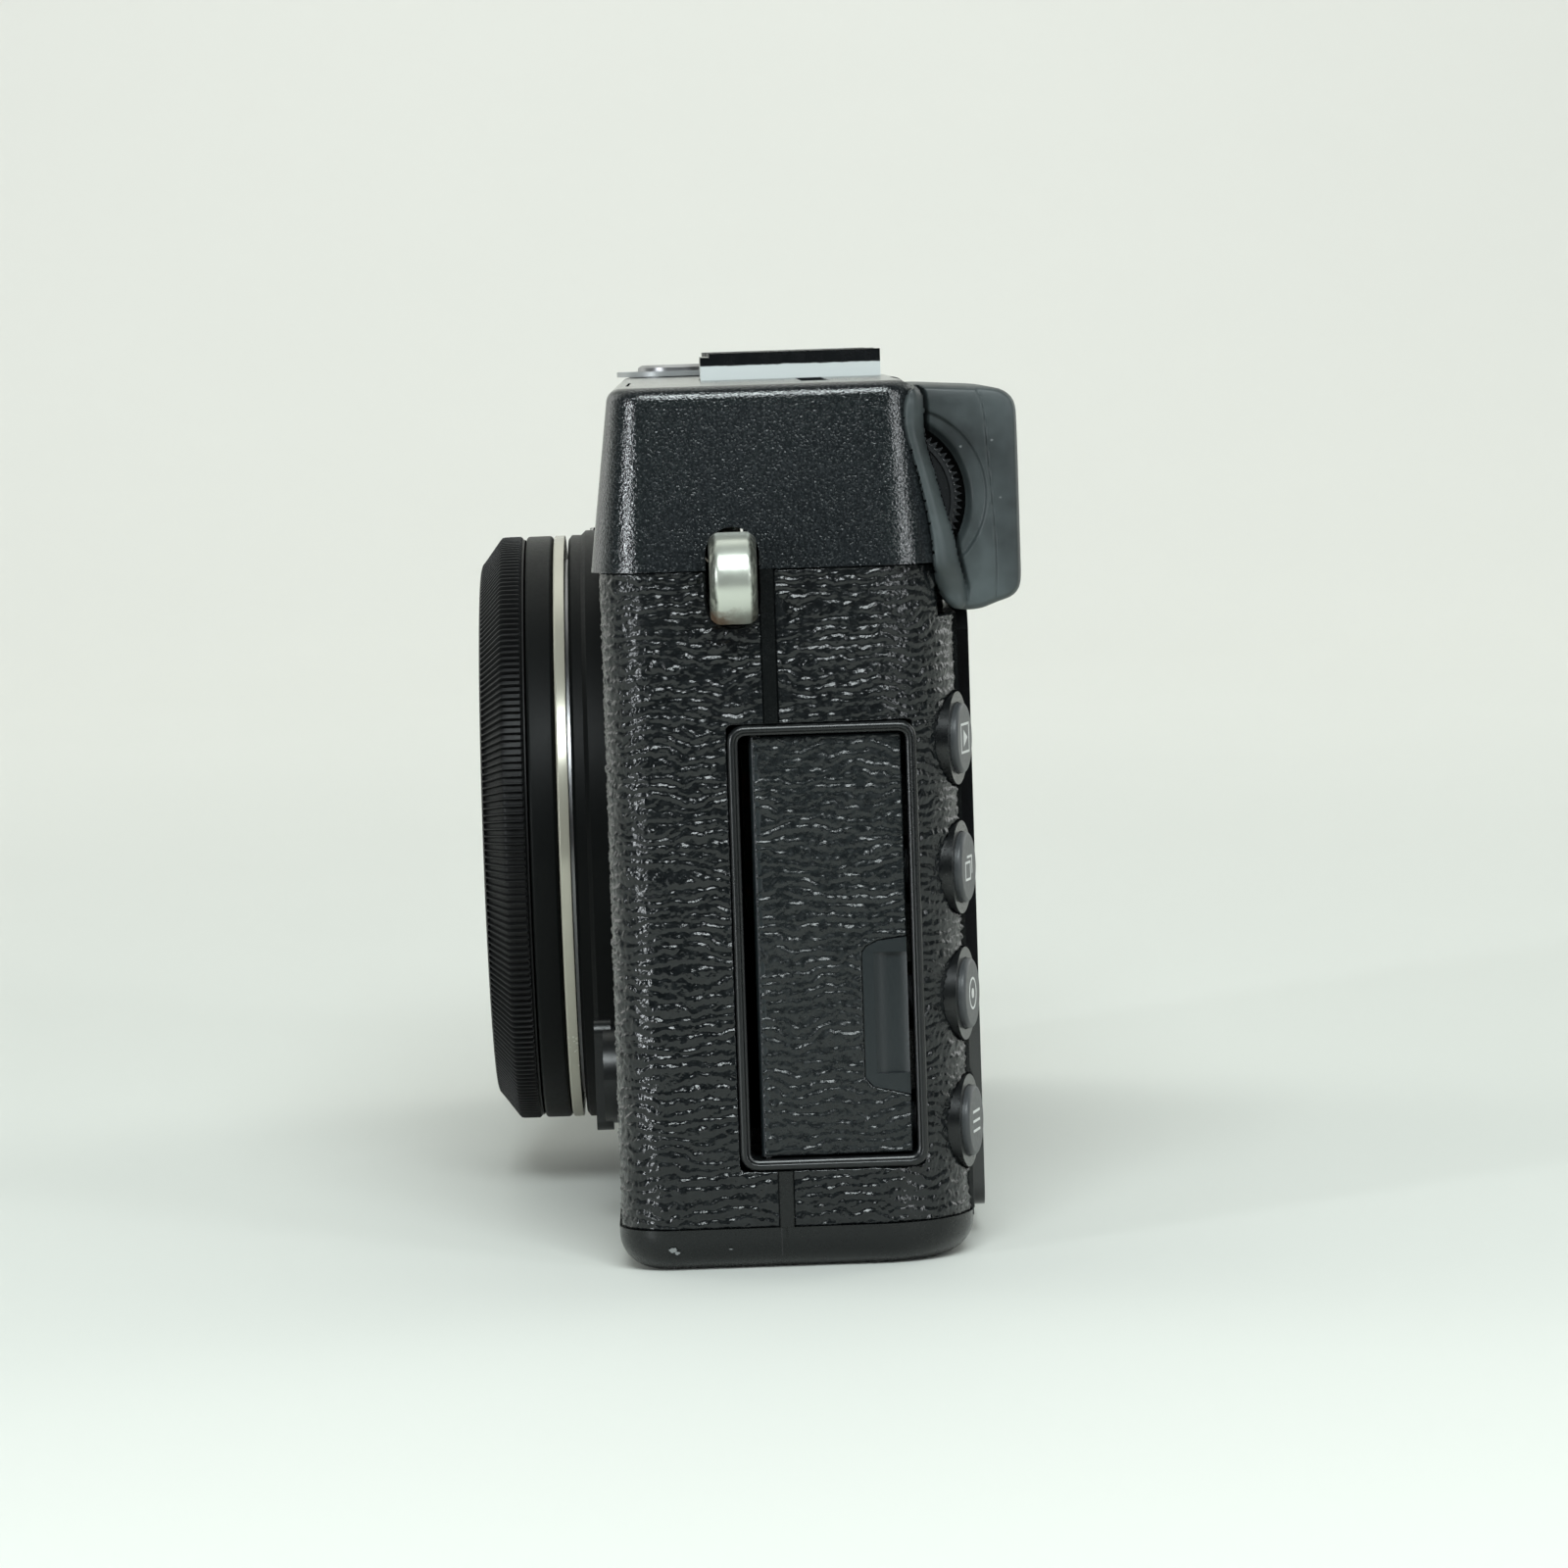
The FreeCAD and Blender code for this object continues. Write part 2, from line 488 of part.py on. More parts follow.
# the door turns on a pin along its front edge
DOOR = (d.door_y_low, d.door_y_high, d.door_z_low, d.door_z_high)
HINGE_X, HINGE_Y = 63.0, 0.75
slab = box(62.05, d.door_x - 0.57, HINGE_Y - 0.35, DOOR[1], DOOR[2], DOOR[3])
knuckle = cyl(0.55, DOOR[3] - DOOR[2], HINGE_X, HINGE_Y, DOOR[2])
def grip_patch(label, x0, x1, g):
    """Smooth finger grip at the free edge of the door, with slanted ends."""
    b = body(label)
    sk = sketch(b, "YZ", x0)
    polygon(sk, [(8.95 - g, 15.5), (9.6, 14.75 - g), (DOOR[1] + g, 14.06 - g), (DOOR[1] + g, 27.0 + g), (10.3, 26.75 + g), (9.3, 26.3 + g), (8.95 - g, 25.8)])
    pad(b, sk, x1 - x0)
    return b


lip = grip_patch("lip", 62.05, d.door_x - 0.25, 0.0)
catch = box(61.2, 62.3, DOOR[1] - 0.9, DOOR[1] - 0.1, 33.0, 37.0)
door = cut(fuse([slab, knuckle, lip, catch]), [cyl(0.32, DOOR[3] - DOOR[2] + 2.0, HINGE_X, HINGE_Y, DOOR[2] - 1.0),
                                                common([cyl(2.6, 14.0, 65.6, DOOR[1] - 1.2, 13.6), box(60, 70, 0, 20, 15.8, 25.8)])], "door")
node(door, "terminal_door")
skin = cut(box(d.door_x - 0.55, d.door_x, DOOR[0], DOOR[1], DOOR[2], DOOR[3]),
           [cyl(0.57, 60.0, HINGE_X, HINGE_Y, 0.0), grip_patch("lip_room", 60.0, 70.0, 0.05)], "skin")
node(skin, "terminal_door_leatherette")
door_pin = cyl(0.3, DOOR[3] - DOOR[2] + 1.0, HINGE_X, HINGE_Y, DOOR[2] - 0.5)

hdmi = cut(box(52.0, 60.3, 3.0, 6.4, 24.0, 36.4), box(53.0, 62.0, 3.35, 6.05, 24.35, 36.05), "hdmi")
hdmi_all = fuse([hdmi, box(52.5, 60.0, 4.4, 5.0, 25.5, 34.9)])
usb = cut(box(52.0, 60.3, 3.0, 6.4, 12.0, 20.0), box(53.0, 62.0, 3.35, 6.05, 12.35, 19.65), "usb")
usb_all = fuse([usb, box(52.5, 60.0, 4.4, 5.0, 13.2, 18.8)])
node(group([hdmi_all, usb_all], "sockets"), "terminal_sockets")

# ---------------------------------------------------------------- strap lugs
def lug(side, label):
    b = body(label)
    sk = sketch(b, "XZ", -2.55)
    circle(sk, 0, 0, d.lug_r)
    circle(sk, d.lug_hole_x - d.lug_x, 0, d.lug_hole_r)
    pad(b, sk, 3.9)
    b.Placement = FreeCAD.Placement(V(0, 0, 0), FreeCAD.Rotation(V(0, 0, 1), 0 if side > 0 else 180))
    place(b, d.lug_x * side, d.lug_y + (-0.6 if side > 0 else 0.6), d.lug_z)
    doc.recompute()
    yc = b.Shape.BoundBox.Center.y
    place(b, d.lug_x * side, b.Placement.Base.y + float(d.lug_y) - yc, d.lug_z)
    return chamfer(b, lambda e, bb: bb.YLength < 1e-3, 0.55, "lug_bevel")


def lug_foot(side):
    xs = sorted((side * 60.9, side * 62.35))
    xt = sorted((side * 61.5, side * 63.4))
    return [box(xs[0], xs[1], -4.6, 3.4, 52.6, 61.2), box(xt[0], xt[1], -1.7, 0.46, 55.2, 58.6)]


lug_l = fuse([lug(1, "lug_l")] + lug_foot(1))
lug_r = fuse([lug(-1, "lug_r")] + lug_foot(-1))
node(group([lug_l, lug_r], "lugs"), "strap_lugs")

# ---------------------------------------------------------------- hot shoe
sy0, sy1 = SHOE_Y0, SHOE_Y0 + d.shoe_len
g2 = d.shoe_gauge / 2
shoe_plate = box(-g2 - 1.5, g2 + 1.5, sy0 - 0.8, sy1, d.top_z - 0.6, d.top_z + 0.2)
shoe_walls = fuse([box(g2 + 0.05, g2 + 1.5, sy0, sy1, d.top_z - 0.2, d.shoe_top), box(-g2 - 1.5, -g2 - 0.05, sy0, sy1, d.top_z - 0.2, d.shoe_top),
                   box(-g2 - 1.5, g2 + 1.5, sy0 - 0.8, sy0 + 0.2, d.top_z - 0.2, d.shoe_top - 0.35)])
shoe_lips = fuse([box(6.2, g2 + 1.5, sy0, sy1, d.shoe_top - 0.4, d.shoe_top), box(-g2 - 1.5, -6.2, sy0, sy1, d.shoe_top - 0.4, d.shoe_top)])
node(cut(fuse([shoe_plate, shoe_walls, shoe_lips]), box(-7.5, 7.5, sy0 + 0.3, sy0 + 13.4, 60, d.top_z + 1), "shoe"), "hot_shoe")
contact_plate = box(-7.4, 7.4, sy0 + 0.4, sy0 + 13.3, d.top_z - 1.9, d.top_z + 0.15)
contacts = [cyl(1.6, 0.7, 0, sy0 + 6.6, d.top_z - 0.45)] + [cyl(0.75, 0.7, x, y, d.top_z - 0.45) for x, y in [(-3.6, sy0 + 10.6), (0.0, sy0 + 11.4), (3.6, sy0 + 10.6)]]
node(fuse([contact_plate] + contacts), "hot_shoe_contacts")

# ---------------------------------------------------------------- eyepiece
def profile_block(label, pts, x0, x1):
    b = body(label)
    sk = sketch(b, "YZ", x0)
    polygon(sk, pts)
    pad(b, sk, x1 - x0)
    return b


CUP = [(14.4, 71.95), (21.95, 71.4), (23.15, 68.4), (23.1, 55.8), (20.85, 54.1), (18.65, 53.4), (17.6, 53.4), (16.6, 55.3),
       (16.35, 58.0), (16.1, 60.4), (15.2, 64.5), (14.2, 68.35), (14.0, 70.9)]
cup = profile_block("cup", CUP, 33.0, 61.05)
cup_r = fillet(cup, lambda e, b: along_x(e, b) and near(b.YMin, 23.15) or (along_x(e, b) and near(b.YMin, 21.95)), 1.2, "cup_round")
cup_case = cut(cup_r, [box(38.2, 54.8, 20.0, 25.0, 56.6, 68.6), box(35.2, 57.6, 10.0, 20.02, 55.6, 69.9),
                       cyl(7.35, 3.0, 58.85, 13.1, 63.0, "x"), box(57.5, 59.2, 10.0, 18.0, 56.6, 68.8)], "cup_case")
node(cup_case, "eyecup")
holder = cut(box(35.5, 57.3, 13.4, 19.8, 55.9, 69.6), [box(39.0, 54.0, 16.0, 25.0, 57.4, 67.8), box(41.0, 52.0, 10.0, 25.0, 59.0, 66.2)], "holder")
node(holder, "eyepiece_frame")
eye_glass = box(39.2, 53.8, 16.1, 17.3, 57.6, 67.6)
node(group([eye_glass, cut(fuse([box(41.3, 51.7, 9.5, 15.8, 59.2, 66.0), box(46.0, 54.0, 9.5, 13.2, 58.6, 66.8)]),
         cyl(1.06, 6.0, 49.0, d.diopter_y - 0.0, d.diopter_z, "x"), "finder")], "finder_set"), "viewfinder_module")
wheel = body("wheel")
wsk = sketch(wheel, "YZ")
pts = []
TEETH = 60
for i in range(TEETH):
    a0, a1 = 2 * math.pi * i / TEETH, 2 * math.pi * (i + 0.75) / TEETH
    pts.append((6.45 * math.cos(a0), 6.45 * math.sin(a0)))
    pts.append((6.1 * math.cos(a1), 6.1 * math.sin(a1)))
for i in range(len(pts)):
    a, b_ = pts[i], pts[(i + 1) % len(pts)]
    wsk.addGeometry(Part.LineSegment(V(a[0], a[1], 0), V(b_[0], b_[1], 0)), False)
pad(wheel, wsk, 1.5)
place(wheel, 59.0, d.diopter_y, d.diopter_z)
node(fuse([wheel, cyl(1.0, 9.2, 50.0, d.diopter_y, d.diopter_z, "x")]), "diopter_dial")

# ---------------------------------------------------------------- dials and buttons on top
def knurled_dial(r, height, x, y, teeth, depth, label, shaft_r=2.0, shaft=7.0):
    b = body(fresh("knurl"))
    sk = sketch(b, "XY")
    circle(sk, 0, 0, r)
    pad(b, sk, height)
    nsk = sketch(b, "XY")
    nsk_pts = [(r * math.cos(0.5 * math.pi / teeth) + 0.4, -0.9 * r * math.pi / teeth * 0.5), (r - depth, 0.0), (r * math.cos(0.5 * math.pi / teeth) + 0.4, 0.9 * r * math.pi / teeth * 0.5)]
    for i in range(3):
        a, c = nsk_pts[i], nsk_pts[(i + 1) % 3]
        nsk.addGeometry(Part.LineSegment(V(float(a[0]), float(a[1]), 0), V(float(c[0]), float(c[1]), 0)), False)
    for i in range(3):
        nsk.addConstraint(Sketcher.Constraint("Coincident", i, 2, (i + 1) % 3, 1))
    pk = b.newObject("PartDesign::Pocket", fresh("notch"))
    pk.Profile = nsk
    pk.Reversed = True
    bind(pk, "Length", height)
    doc.recompute()
    pp = b.newObject("PartDesign::PolarPattern", fresh("notches"))
    pp.Originals = [pk]
    pp.Axis = (sk, ["N_Axis"])
    pp.Angle = 360
    pp.Occurrences = teeth
    b.Tip = pp
    place(b, x, y, d.top_z - 0.35)
    ch = b
    return fuse([ch, cyl(shaft_r, shaft + 0.2, x, y, d.top_z + 0.15 - shaft)], label)


node(knurled_dial(d.dial_r, d.dial_h + 0.5, DIAL[0], DIAL[1], 60, 0.35, "speed_dial"), "shutter_speed_dial")
node(knurled_dial(d.comp_r, d.dial_h + 0.3, COMP[0], COMP[1], 54, 0.35, "comp_dial"), "exposure_dial")
lever = fuse([cyl(5.6, 0.5, SHUT[0], SHUT[1], d.top_z + 0.1), cyl(4.4, 3.3, SHUT[0], SHUT[1], d.top_z - 3.0),
              box(SHUT[0] - 6.4, SHUT[0] - 4.5, SHUT[1] - 1.2, SHUT[1] + 1.2, d.top_z + 0.1, d.top_z + 0.75)])
node(cut(lever, [cyl(2.4, 12.0, SHUT[0], SHUT[1], d.top_z - 5.0), cyl(3.7, 3.0, SHUT[0], SHUT[1], d.top_z - 0.5)], "lever"), "power_lever")
release = revolve("release", [(0.0, -4.6), (2.35, -4.6), (2.35, 0.55), (3.5, 0.55), (3.5, 0.95), (3.1, 1.2), (d.thread_r, 1.05), (d.thread_r, -3.6), (0.0, -3.6)],
                  SHUT[0], SHUT[1], d.top_z, "z")
node(release, "shutter_button")
node(fuse([fillet(cyl(2.2, 0.95, FN[0], FN[1], d.top_z - 0.4), lambda e, b: b.ZMin > float(d.top_z) + 0.3, 0.25), cyl(1.5, 4.0, FN[0], FN[1], d.top_z - 4.3)]), "fn_button")

# pop-up flash: lid, reflector box and hinge barrel
fx0, fx1, fy0, fy1 = FLASH
fl = fuse([fillet(box(fx0 + 0.25, fx1 - 0.25, fy0 + 0.25, fy1 - 2.3, d.top_z - 1.3, d.top_z), lambda e, b: upright(e, b), 0.8),
           box(fx0 + 3.0, fx1 - 3.0, -7.0, fy1 - 5.5, 66.5, d.top_z - 1.2),
           cyl(1.1, fx1 - fx0 - 0.5, fx0 + 0.25, fy1 - 1.6, d.top_z - 1.35, "x"),
           box(fx0 + 3.0, fx1 - 3.0, fy1 - 6.0, fy1 - 2.0, d.top_z - 2.0, d.top_z - 1.0)])
node(cut(fl, cyl(0.62, fx1 - fx0 + 2, fx0 - 1, fy1 - 1.6, d.top_z - 1.35, "x"), "flash"), "flash_unit")
flash_pin = cyl(0.6, fx1 - fx0 + 1.2, fx0 - 0.6, fy1 - 1.6, d.top_z - 1.35, "x")
node(fuse([cyl(1.9, 3.0, FLASH_BUTTON[0], 13.2, FLASH_BUTTON[1], "y"), cyl(2.4, 0.6, FLASH_BUTTON[0], 12.8, FLASH_BUTTON[1], "y")]), "flash_release_button")

# ---------------------------------------------------------------- rear controls
COL_NAMES = ["playback_button", "drive_button", "metering_button", "function_button"]
for name, z in zip(COL_NAMES, COLUMN_Z):
    cap = column_cyl(2.93, -1.0, 2.4, z)
    cap_r = fillet(cap, lambda e, b: b.Center.dot(COLUMN_DIR) > COLUMN_X * st + COLUMN_Y * ct + 0.5, 0.35)
    node(fuse([cap_r, column_cyl(1.6, -4.5, 3.6, z)]), name)
bezels = [cut(column_cyl(3.85, -1.45, 2.25, z), column_cyl(3.0, -3.0, 5.0, z)) for z in COLUMN_Z]
node(group(bezels, "bezels"), "button_bezels")
for name, (x, z, r) in REAR.items():
    proud = 1.25 if name in ("ok_button", "q_button", "pad_right") else 1.0
    cap = fillet(cyl(r, 3.0 + proud, x, d.rear_face - 3.0, z, "y"), lambda e, b: b.YMin > float(d.rear_face) + 0.5, 0.35)
    node(cap, name)
wheel2 = body("thumbwheel")
wk = sketch(wheel2, "XY")
circle(wk, 0, 0, 5.6)
pad(wheel2, wk, 4.2)
place(wheel2, -50.0, d.rear_face - 4.6, 51.4)
node(fuse([wheel2, cyl(1.0, 6.4, -50.0, d.rear_face - 4.6, 50.3)]), "command_dial")

# ---------------------------------------------------------------- display
glass_plate = fuse([box(-22.0, 50.0, d.rear_face - 1.0, d.rear_face + 0.4, 2.5, 51.1),
                    fillet(box(-22.0, 50.0, d.rear_face + 0.02, d.rear_face + 1.3, 2.5, 53.15), lambda e, b: b.YLength > 0.5 and b.XLength < 1e-3 and b.ZLength < 1e-3, 2.0, "glass_round")])
node(cut(glass_plate, box(-18.5, 46.5, d.rear_face - 1.5, d.rear_face - 0.6, 5.5, 48.2), "display_glass"), "display_glass")
node(box(-20.0, 48.0, d.rear_face - 3.4, d.rear_face - 1.05, 4.0, 49.6), "display_panel")

# ---------------------------------------------------------------- front controls
sx, sz = SWITCH
sw = fuse([cyl(4.2, 1.5, sx, d.front_face - 1.2, sz, "y"), cyl(1.3, 4.8, sx, d.front_face - 0.2, sz, "y"),
           fillet(box(sx - 1.3, sx + 1.3, d.front_face - 1.95, d.front_face - 0.5, sz - 4.8, sz + 4.8), lambda e, b: b.YLength > 1.0 and b.XLength < 1e-3 and b.ZLength < 1e-3, 1.1)])
node(sw, "focus_mode_switch")
rx, rz = RELEASE
rel = fuse([fillet(cyl(3.2, 3.6, rx, d.front_face - 1.9, rz, "y"), lambda e, b: b.YMax < float(d.front_face) - 1.5, 0.5), cyl(1.2, 1.8, rx, d.front_face + 1.5, rz, "y"),
            box(rx - 1.2, PINS[0] + 1.0, -9.3, -8.5, rz - 1.2, rz + 1.2), box(PINS[0] - 1.0, PINS[0] + 1.0, -9.3, -8.5, rz - 1.2, d.lens_z + PINS[1] + 1.0),
            cyl(0.9, 7.4, PINS[0], -16.0, d.lens_z + PINS[1], "y")])
node(rel, "lens_release_button")
node(fuse([cyl(3.2, 0.8, -33.5, d.front_face - 0.25, 51.0, "y"), cyl(2.6, 0.5, -33.5, d.front_face - 0.6, 51.0, "y")]), "focus_lamp_window")

# ---------------------------------------------------------------- lens mount
lz = d.lens_z
face, fr = d.mount_face, d.ring_split
node(revolve("surround", [(24.7, -15.05), (26.35, -15.05), (26.75, -14.75), (26.75, -13.9), (26.9, -13.75), (27.15, -13.5), (27.15, d.front_face + 0.58),
                          (24.7, d.front_face + 0.58)], 0, 0, lz), "mount_surround")
ring_body = revolve("bayonet", [(d.throat_r, face), (24.55, face), (24.55, -11.2), (d.throat_r, -11.2)], 0, 0, lz)
tabs = [cyl(22.3, 1.0, 0, -13.4, lz, "y"), cyl(21.6, 1.0, 0, -12.3, lz, "y")]
wedge = []
for k in range(3):
    w = box(-7.5, 7.5, -14.0, -11.0, 19.0, 24.0)
    p = FreeCAD.Placement(V(0, 0, float(lz)), FreeCAD.Rotation(V(0, 1, 0), 120 * k)).multiply(FreeCAD.Placement(V(-7.5, -14.0, 19.0), FreeCAD.Rotation()))
    for prop in ("Placement.Base.x", "Placement.Base.y", "Placement.Base.z"):
        w.setExpression(prop, None)
    w.Placement = p
    wedge.append(w)
claws = cut(common([tabs[0], fuse(wedge)]), cyl(20.9, 5.0, 0, -14.0, lz, "y"))
ring_full = cut(fuse([ring_body, claws]), fuse([cyl(0.82, 8.0, x, -16.0, lz + z, "y") for x, z in SCREWS] + [cyl(1.0, 8.0, PINS[0], -16.0, lz + PINS[1], "y")]))
node(ring_full, "lens_mount_ring")
node(group([cut(cyl(0.8, 5.1, x, face + 0.02, lz + z, "y"), cyl(0.4, 0.5, x, face - 0.1, lz + z, "y")) for x, z in SCREWS]), "mount_screws")
cb = common([cut(cyl(20.9, 1.6, 0, -11.1, lz, "y"), cyl(16.8, 4.0, 0, -12.0, lz, "y")), box(-14, 14, -20, 0, lz - 22, lz - 12.5)])
pins = [cyl(0.45, 1.5, 18.2 * math.sin(math.radians(6.5 * (i - 4.5))), -12.4, lz - 18.2 * math.cos(math.radians(6.5 * (i - 4.5))), "y") for i in range(10)]
node(fuse([cb] + pins), "contact_block")

# ---------------------------------------------------------------- lens
front, k0, k1, br = d.lens_front, d.knurl_front, d.knurl_rear, d.barrel_rear
flange = revolve("lens_flange", [(17.5, -16.4), (26.75, -16.4), (26.75, face - 0.02), (21.6, face - 0.02), (21.6, -13.6), (20.6, -13.6), (20.6, -11.3), (19.2, -11.3), (19.2, -13.4), (17.5, -13.4)], 0, 0, lz)
lens_tabs = cut(common([tabs[1], fuse(wedge)]), cyl(20.0, 5.0, 0, -14.0, lz, "y"))
node(cut(fuse([flange, lens_tabs]), [cyl(1.0, 2.0, PINS[0], -16.15, lz + PINS[1], "y")]), "lens_mount_plate")
barrel = revolve("barrel", [(17.5, -21.6), (18.6, -21.6), (18.6, -19.0), (24.9, -19.0), (24.9, k1 + 0.06), (26.75, k1 + 0.06), (26.75, br - 0.02), (16.2, br - 0.02), (16.2, -19.4), (17.5, -19.4)], 0, 0, lz)
node(barrel, "lens_barrel")
ring_focus = revolve("focus", [(18.68, front + 0.4), (19.6, front), (24.2, front), (26.75, k0), (26.75, k1), (25.0, k1), (25.0, -20.0), (18.68, -20.0)], 0, 0, lz)
node(ring_focus, "focus_ring")
cell = revolve("cell", [(6.2, -21.4), (10.0, -20.9), (15.4, -19.8), (16.0, -19.8), (16.0, -13.8), (14.9, -13.8), (14.9, -19.2), (10.0, -20.1), (8.0, -20.3), (8.0, -14.9), (6.2, -14.9)], 0, 0, lz)
web = revolve("web", [(7.9, -16.5), (15.0, -16.5), (15.0, -15.5), (7.9, -15.5)], 0, 0, lz)
node(cut(fuse([cell, web]), cyl(6.2, 20.0, 0, -25.0, lz, "y")), "focus_cell")
glass1 = (revolve("glass1", [(0, -21.3), (3.0, -21.1), (6.15, -20.5), (6.15, -18.8), (3.0, -19.1), (0, -19.3)], 0, 0, lz))
glass2 = (revolve("glass2", [(0, -17.6), (6.15, -17.2), (6.15, -15.6), (3.0, -15.1), (0, -14.9)], 0, 0, lz))
node(group([glass1, glass2], "glasses"), "lens_elements")
name_ring = revolve("name_ring", [(15.0, -22.9), (18.5, -22.9), (18.5, -21.68), (17.4, -21.68), (16.25, -21.2), (15.0, -21.9)], 0, 0, lz)
node(name_ring, "lens_front_ring")

# ---------------------------------------------------------------- inside
node(cut(box(-19.0, 36.0, -9.4, -8.4, 6.0, 56.0), [cyl(20.6, 4.0, 0, -10.0, lz, "y")]), "chassis_plate")
node(cut(box(-18.5, 18.5, -7.8, -4.2, 10.0, 54.0), [box(-12.2, 12.2, -9, 0, 23.6, 40.2), box(-17.5, 17.5, -6.6, -5.4, 12.0, 42.0)]), "shutter_frame")
node(fuse([box(-15.0, 15.0, d.sensor_y - 1.2, d.sensor_y + 1.8, lz - 11.0, lz + 11.0), box(-11.8, 11.8, d.sensor_y - 2.4, d.sensor_y - 1.2, lz - 7.9, lz + 7.9)]), "image_sensor")
slot = cut(box(-58.6, -22.0, 11.2, 14.0, 6.0, 34.0), box(-56.0, -31.0, 11.6, 13.8, 5.0, 31.0))
node(fuse([cut(box(-22.5, 52.0, 12.4, 13.6, 6.0, 55.0), box(-18.5, 0.0, 6, 20, 5, 12)), slot]), "main_board")
node(fillet(box(-57.8, -21.4, -6.5, 9.2, 3.4, 50.5), lambda e, b: upright(e, b), 2.5), "battery")
bd = fillet(box(-59.0, -21.0, -6.9, 11.95, 0.35, 2.0), lambda e, b: upright(e, b) and e.Vertexes[0].Y > 0, 1.0)
node(cut(fuse([bd, cyl(0.95, 33.0, -56.0, -6.9, 1.45, "x")]), cyl(0.52, 42.0, -61.0, -6.9, 1.45, "x")), "battery_door")
node(group([door_pin, flash_pin, cyl(0.5, 40.0, -60.0, -6.9, 1.45, "x")], "pins"), "hinge_pins")
tb = fuse([cyl(5.5, 1.4, d.tripod_x, d.tripod_y, 0.02), box(d.tripod_x - 7.0, d.tripod_x + 7.0, -2.0, 12.0, 1.7, 3.0), cyl(5.0, 4.6, d.tripod_x, d.tripod_y, 1.0)])
node(cut(tb, cyl(d.tripod_r, d.tripod_len, d.tripod_x, d.tripod_y, -0.5)), "tripod_socket")

# ---------------------------------------------------------------- checks and files
doc.recompute()
bad = []
for o in doc.Objects:
    if any(word in ("Invalid", "Error") for word in o.State):
        bad.append(o.Name)
for label, obj in NODES:
    s = obj.Shape
    if s.isNull() or not s.isValid() or s.Volume < 1e-3:
        bad.append("shape of " + label)
if len(NODES) != len(set(n for n, o in NODES)) or len(NODES) > 60:
    bad.append("node names or count %d" % len(NODES))
if bad:
    raise RuntimeError("not built: " + ", ".join(bad))
os.makedirs("parts", exist_ok=True)
for label, obj in NODES:
    obj.Shape.exportStep("parts/%s.step" % label)
    print("%-26s %2d solids  %10.2f mm3" % (label, len(obj.Shape.Solids), obj.Shape.Volume))
print(len(NODES), "nodes")
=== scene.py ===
import bpy, bmesh, math
import numpy as np
from mathutils import Vector, Matrix


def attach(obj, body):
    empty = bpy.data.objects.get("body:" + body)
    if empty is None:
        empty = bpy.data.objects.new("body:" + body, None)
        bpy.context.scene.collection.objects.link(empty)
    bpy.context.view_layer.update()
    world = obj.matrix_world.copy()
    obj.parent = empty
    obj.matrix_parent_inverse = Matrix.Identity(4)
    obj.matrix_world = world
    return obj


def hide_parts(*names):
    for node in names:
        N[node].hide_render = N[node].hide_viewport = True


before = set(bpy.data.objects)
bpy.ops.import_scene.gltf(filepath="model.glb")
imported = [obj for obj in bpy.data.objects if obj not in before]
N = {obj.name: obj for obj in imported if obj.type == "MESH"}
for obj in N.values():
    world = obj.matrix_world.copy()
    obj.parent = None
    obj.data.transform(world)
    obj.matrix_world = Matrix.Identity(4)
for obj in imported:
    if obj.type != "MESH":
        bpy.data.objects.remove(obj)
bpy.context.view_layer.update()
scene = bpy.context.scene
MM = 0.001


# ------------------------------------------------------------------ camera
def make_camera():
    f, cx, cy = 6200.0, 800.0, 800.0
    vx, vy, roll = 690.0, 337.0, math.radians(1.93)
    n = Vector(((vx - cx) / f, (vy - cy) / f, 1.0)).normalized()
    up = Vector((-math.sin(roll), -math.cos(roll), 0.0))
    up = (up - n * up.dot(n)).normalized()
    ax, az = -n, up
    ay = az.cross(ax)
    rows = [Vector((ax[i], ay[i], az[i])) for i in range(3)]
    right, down, fwd = rows
    cam = bpy.data.cameras.new("camera")
    ob = bpy.data.objects.new("camera", cam)
    scene.collection.objects.link(ob)
    m = Matrix.Identity(4)
    for i in range(3):
        m[i][0], m[i][1], m[i][2] = right[i], -down[i], -fwd[i]
    m[0][3], m[1][3], m[2][3] = 0.5585, -0.00455, 0.0771
    ob.matrix_world = m
    cam.sensor_fit = "HORIZONTAL"
    cam.sensor_width = 36.0
    cam.lens = 36.0 * f / 1600.0
    cam.clip_start = 0.01
    cam.clip_end = 20.0
    scene.camera = ob
    return ob


camera = make_camera()
scene.view_settings.view_transform = "Standard"
scene.view_settings.look = "None"


# ------------------------------------------------------------------ node helpers
def new_mat(name):
    m = bpy.data.materials.new(name)
    m.use_nodes = True
    nt = m.node_tree
    for x in list(nt.nodes):
        nt.nodes.remove(x)
    out = nt.nodes.new("ShaderNodeOutputMaterial")
    b = nt.nodes.new("ShaderNodeBsdfPrincipled")
    nt.links.new(b.outputs[0], out.inputs[0])
    return m, nt, b


def coords(nt, scale=(1, 1, 1)):
    tc = nt.nodes.new("ShaderNodeTexCoord")
    mp = nt.nodes.new("ShaderNodeMapping")
    mp.inputs["Scale"].default_value = scale
    nt.links.new(tc.outputs["Object"], mp.inputs["Vector"])
    return mp.outputs[0]


def noise(nt, vec, scale, detail=2.0, rough=0.5, dist=0.0):
    n = nt.nodes.new("ShaderNodeTexNoise")
    n.inputs["Scale"].default_value = scale
    n.inputs["Detail"].default_value = detail
    n.inputs["Roughness"].default_value = rough
    n.inputs["Distortion"].default_value = dist
    nt.links.new(vec, n.inputs["Vector"])
    return n.outputs["Fac"]


